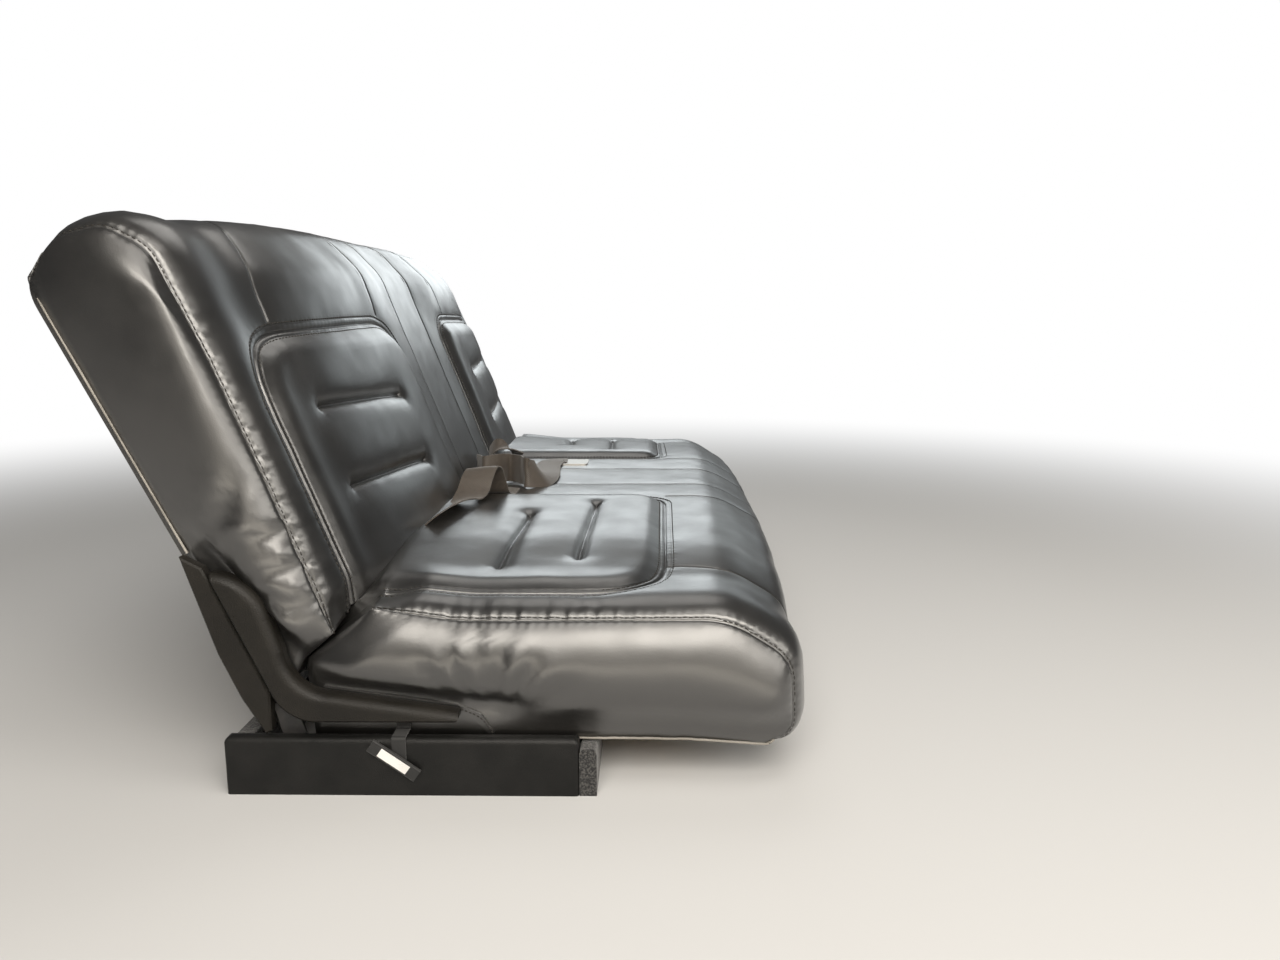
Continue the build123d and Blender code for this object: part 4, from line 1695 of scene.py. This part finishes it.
@dataclass(frozen=True)
class SoftBox:
    """Rectangular light."""

    name: str
    place: Point
    aim: Point
    size: tuple[float, float]
    radiance: float
    colour: Colour


LAMPS = (
    # place, aim, size, radiance, colour
    SoftBox("near_high", (-2.7, -0.60, 1.85), (-0.6, -0.3, 0.3), (2.6, 1.4),
            7.4, (1.0, 0.94, 0.85)),
    SoftBox("near_low", (-3.1, -0.6, 0.80), (-0.6, -0.3, 0.25), (2.6, 0.6),
            1.2, (1.0, 0.92, 0.80)),
    SoftBox("near_ground", (-1.75, -0.5, 0.03), (-1.65, -0.5, 1.0), (1.9, 0.9),
            2.5, (1.0, 0.91, 0.76)),
    SoftBox("near_front", (-2.0, -3.0, 1.45), (-0.6, 0.0, 0.4), (2.4, 1.3),
            3.8, (1.0, 0.95, 0.87)),
    SoftBox("near_head", (-1.45, -0.5, 2.7), (-0.6, -0.1, 0.3), (2.2, 0.9),
            2.8, (1.0, 0.95, 0.88)),
    SoftBox("far_main", (3.0, 0.0, 1.38), (0.0, 0.0, 0.2), (1.6, 1.0),
            2.3, (0.92, 0.98, 1.0)),
    SoftBox("far_front", (3.0, -1.45, 1.2), (0.0, 0.0, 0.2), (1.3, 1.1),
            0.62, (0.90, 0.98, 1.0)),
    SoftBox("top_far", (0.9, -0.2, 2.6), (-0.2, 0.0, 0.3), (1.6, 1.4),
            1.5, (1.0, 0.97, 0.92)),
)


@dataclass(frozen=True)
class Studio:
    """Camera at the photograph's place, pale floor and soft light."""

    ambient: float = 0.09
    lamps: tuple[SoftBox, ...] = LAMPS
    floor_reach: float = 9.0
    eye: Point = (-1.662, -0.262, 0.515)
    tilt: float = 10.0      # degrees down
    turn: float = 0.69      # degrees from +X towards +Y
    lens: float = 27.0
    sensor: float = 36.0

    def camera(self) -> None:
        """Sets the camera beside the near end, looking across the seat."""
        data = bpy.data.cameras.new("camera")
        data.lens = self.lens
        data.sensor_width = self.sensor
        camera = bpy.data.objects.new("camera", data)
        bpy.context.scene.collection.objects.link(camera)
        camera.location = self.eye
        down, aside = math.radians(self.tilt), math.radians(self.turn)
        level = math.cos(down)
        looking = Vector((level * math.cos(aside), level * math.sin(aside), -math.sin(down)))
        camera.rotation_mode = "QUATERNION"
        camera.rotation_quaternion = looking.to_track_quat("-Z", "Y")
        bpy.context.scene.camera = camera

    def lamp(self, box: SoftBox) -> None:
        """Adds a soft box that the camera doesn't see.

        Args:
            box: Its place, size and light.
        """
        data = bpy.data.lights.new(box.name, "AREA")
        data.shape = "RECTANGLE"
        data.size, data.size_y = box.size
        data.energy = box.radiance * math.pi * box.size[0] * box.size[1]
        data.color = box.colour
        lamp = bpy.data.objects.new(box.name, data)
        bpy.context.scene.collection.objects.link(lamp)
        lamp.location = box.place
        lamp.rotation_mode = "QUATERNION"
        lamp.rotation_quaternion = (Vector(box.aim) - Vector(box.place)).to_track_quat("-Z", "Y")
        lamp.visible_camera = False

    def world(self) -> None:
        """Lights the object faintly all round, with a white background for the camera."""
        world = bpy.data.worlds.new("studio")
        world.use_nodes = True
        bpy.context.scene.world = world
        sheet = NodeSheet(world.node_tree)
        background = world.node_tree.nodes["Background"]
        path = sheet.add("ShaderNodeLightPath")
        shown = sheet.math("MAXIMUM", path.outputs["Is Camera Ray"],
                           path.outputs["Is Transmission Ray"])
        strength = sheet.ramp(shown, 0.0, 1.0, self.ambient, 1.0)
        sheet.feed(background, "Color", rgba(WHITE))
        sheet.feed(background, "Strength", strength)

    def floor(self) -> None:
        """Adds the plain pale floor, which fades to the white background far off."""
        reach = self.floor_reach
        points = [(-reach, -reach, 0), (reach, -reach, 0), (reach, reach, 0), (-reach, reach, 0)]
        floor = mesh_object("floor", points, [(0, 1, 2, 3)], PaleFloor("pale_floor"),
                            smooth=False)

    def build(self) -> None:
        """Sets up the whole studio."""
        self.camera()
        self.world()
        self.floor()
        for lamp in self.lamps:
            self.lamp(lamp)
        bpy.context.scene.view_settings.view_transform = "Standard"


# Plain parts and trim

@dataclass(frozen=True)
class PlainParts:
    """Pieces of the CAD model that stay and only need a finish."""

    finishes: tuple[tuple[str, Finish], ...] = (
        # start of the piece's name, finish
        ("base_side_board", BASE_VINYL),
        ("riser_front_board", BLACK_CARPET),
        ("riser_rear_board", BLACK_CARPET),
        ("riser_bearer", BOARD),
        ("seat_deck", BOARD),
        ("floor_bracket", BLACK_STEEL),
        ("leg_striker", BLACK_STEEL),
        ("side_plate", BLACK_STEEL),
        ("side_shield", SHIELD_PLASTIC),
        ("rear_shield", SHIELD_PLASTIC),
        ("cushion_hem", LEATHER),
        ("rear_panel", LEATHER_BACKING),
        ("belt_webbing", BELT),
        ("belt_tongue", TONGUE_STEEL),
        ("release_strap", STRAP),
        ("release_handle", STRAP),
        ("release_tag", TAG),
    )

    def dress(self) -> None:
        """Gives each piece its finish."""
        for name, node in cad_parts.items():
            for start, finish in self.finishes:
                if name.startswith(start):
                    for slot in node.material_slots:
                        slot.material = finish.build()
                    log.info("%s: %s", name, finish.name)


# Rows of x, y, height over the cushion, and the width's direction
NEAR_RIBBON = Ribbon("belt_near_ribbon", (
    (-0.430, 0.034, 0.002, 0.18, 0.74, -0.65),
    (-0.375, 0.027, 0.003, 0.15, 0.80, -0.55),
    (-0.325, 0.016, 0.004, 0.10, 0.90, -0.40),
    (-0.292, 0.006, 0.007, 0.04, 0.99, -0.12),
    (-0.276, 0.000, 0.016, 0.02, 1.00, 0.00),
    (-0.264, -0.004, 0.031, 0.03, 1.00, -0.04),
    (-0.247, -0.009, 0.043, 0.08, 1.00, -0.10),
    (-0.228, -0.013, 0.039, 0.10, 1.00, -0.12),
    (-0.216, -0.016, 0.024, 0.08, 1.00, -0.08),
    (-0.209, -0.020, 0.009, 0.04, 1.00, -0.02),
    (-0.190, -0.024, 0.004, 0.00, 1.00, 0.00),
    (-0.150, -0.028, 0.004, 0.00, 1.00, 0.00),
))
FAR_RIBBON = Ribbon("belt_far_ribbon", (
    (-0.045, 0.034, 0.020, 0.00, 0.10, 1.00),
    (-0.078, 0.024, 0.025, 0.10, 0.00, 1.00),
    (-0.112, 0.010, 0.026, 0.15, 0.10, 0.98),
    (-0.100, -0.010, 0.028, -0.10, 0.10, 0.98),
    (-0.078, -0.026, 0.028, -0.15, 0.00, 0.98),
    (-0.100, -0.046, 0.026, 0.20, 0.10, 0.95),
    (-0.128, -0.060, 0.025, 0.25, 0.20, 0.92),
    (-0.110, -0.078, 0.021, 0.10, 0.45, 0.85),
    (-0.070, -0.082, 0.016, 0.00, 0.80, 0.55),
    (-0.020, -0.080, 0.010, 0.00, 0.97, 0.20),
    (0.050, -0.074, 0.006, 0.00, 1.00, 0.05),
    (0.105, -0.072, 0.005, 0.20, 0.97, 0.00),
    (0.137, -0.080, 0.004, 0.70, 0.70, 0.00),
    (0.147, -0.092, 0.003, 0.97, 0.20, 0.00),
    (0.148, -0.102, 0.003, 1.00, 0.00, 0.00),
), stations=190)
ROOT_RIBBON = Ribbon("belt_root_ribbon", (
    (0.075, 0.036, 0.004, 0.95, 0.10, 0.20),
    (0.055, 0.028, 0.030, 0.85, 0.30, 0.20),
    (0.040, 0.012, 0.042, 0.80, 0.50, 0.10),
    (0.034, -0.010, 0.040, 0.70, 0.60, 0.00),
    (0.036, -0.030, 0.030, 0.60, 0.70, 0.00),
), stations=60)


@dataclass(frozen=True)
class SeatTrim:
    """Piping, the hem strips' stitches and the slack belts; the cushion's edge piping is pale as a
    painted highlight.
    """

    edge_rear: float = 2.42             # places round the cushion's section
    edge_front: float = 1.86
    edge_bead: float = 0.0014
    edge_lift: float = 0.0004
    side_points: int = 60
    front_points: int = 160
    panel_foot: float = 0.262
    panel_corner: float = 0.045
    panel_edge: tuple[float, float] = (0.2265, 0.256)      # y, z of a point on it
    panel_lean: float = 0.4925          # y per metre of height
    panel_bead: float = 0.0013
    hem_rows: Rows = ((0.091, 0.1115), (0.030, 0.1040, 0.3), (-0.052, 0.0920, 0.1),
                      (-0.078, 0.0808, 0.03), (-0.0895, 0.0640))      # y, z, radius
    hem_spacing: float = 0.003
    hem_lift: float = 0.0003
    hem_thread: StitchRun = StitchRun(pitch=0.0046, length=0.0036)

    def cushion_piping(self, cushion: SeatCushion) -> None:
        """Lays the piping along the cushion's lower edge, round its front; its pale colour is a
        painted highlight of the lit edge.

        Args:
            cushion: The finished cushion.
        """
        half = cushion.half_width
        place = np.linspace(self.edge_rear, self.edge_front, self.side_points)
        side = np.full(self.side_points, half)
        across = np.linspace(-half, half, self.front_points)
        front = cushion.wrap(across, np.full(self.front_points, self.edge_front))
        edge = np.concatenate([cushion.wrap(-side, place), front[1:-1],
                               cushion.wrap(side, place[::-1])])
        line = cushion.on_surface(edge, self.edge_lift)
        # The pale bead is a painted highlight along the lit lower edge.
        BeadRun(self.edge_bead).lay("cushion_piping", [line], PALE_PIPING_AND_PAINTED_HIGHLIGHT, "leather")

    def panel_piping(self, half: float) -> None:
        """Lays the piping round the rear panel.

        Args:
            half: Half the seat's width.
        """
        top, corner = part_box("rear_panel")[1].z, self.panel_corner
        x, z = line_through(((half, self.panel_foot), (half, top, corner),
                             (-half, top, corner), (-half, self.panel_foot))).T
        y = self.panel_edge[0] + self.panel_lean * (z - self.panel_edge[1])
        BeadRun(self.panel_bead).lay("panel_piping", [np.stack([x, y, z], 1)], PALE_PIPING_AND_PAINTED_HIGHLIGHT, "vinyl")

    def hem_stitches(self) -> None:
        """Sews a row of stitches along each hem strip."""
        y, z = line_through(self.hem_rows, self.hem_spacing).T
        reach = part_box("cushion_hem_right")[1].x + self.hem_lift
        hems = [np.stack([np.full(len(y), sign * reach), y, z], 1) for sign in SIGNS]
        self.hem_thread.lay("hem_stitches", hems, THREAD, "leather")

    def build(self, cushion: SeatCushion) -> None:
        """Adds all the trim.

        Args:
            cushion: The finished cushion, which the belts lie on.
        """
        self.cushion_piping(cushion)
        self.panel_piping(cushion.half_width)
        self.hem_stitches()
        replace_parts(NEAR_RIBBON.build(cushion.surface), "belt_webbing_near")
        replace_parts(FAR_RIBBON.build(cushion.surface), "belt_webbing_far")
        ROOT_RIBBON.build(cushion.surface)


def main() -> None:
    """Builds the seat's looks in order."""
    logging.basicConfig(level=logging.INFO, format="%(message)s")
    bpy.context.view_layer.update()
    Studio().build()
    PlainParts().dress()
    cushion = SeatCushion()
    cushion.build()
    SeatBackrest().build()
    SeatTrim().build(cushion)


if __name__ == "__main__":
    main()
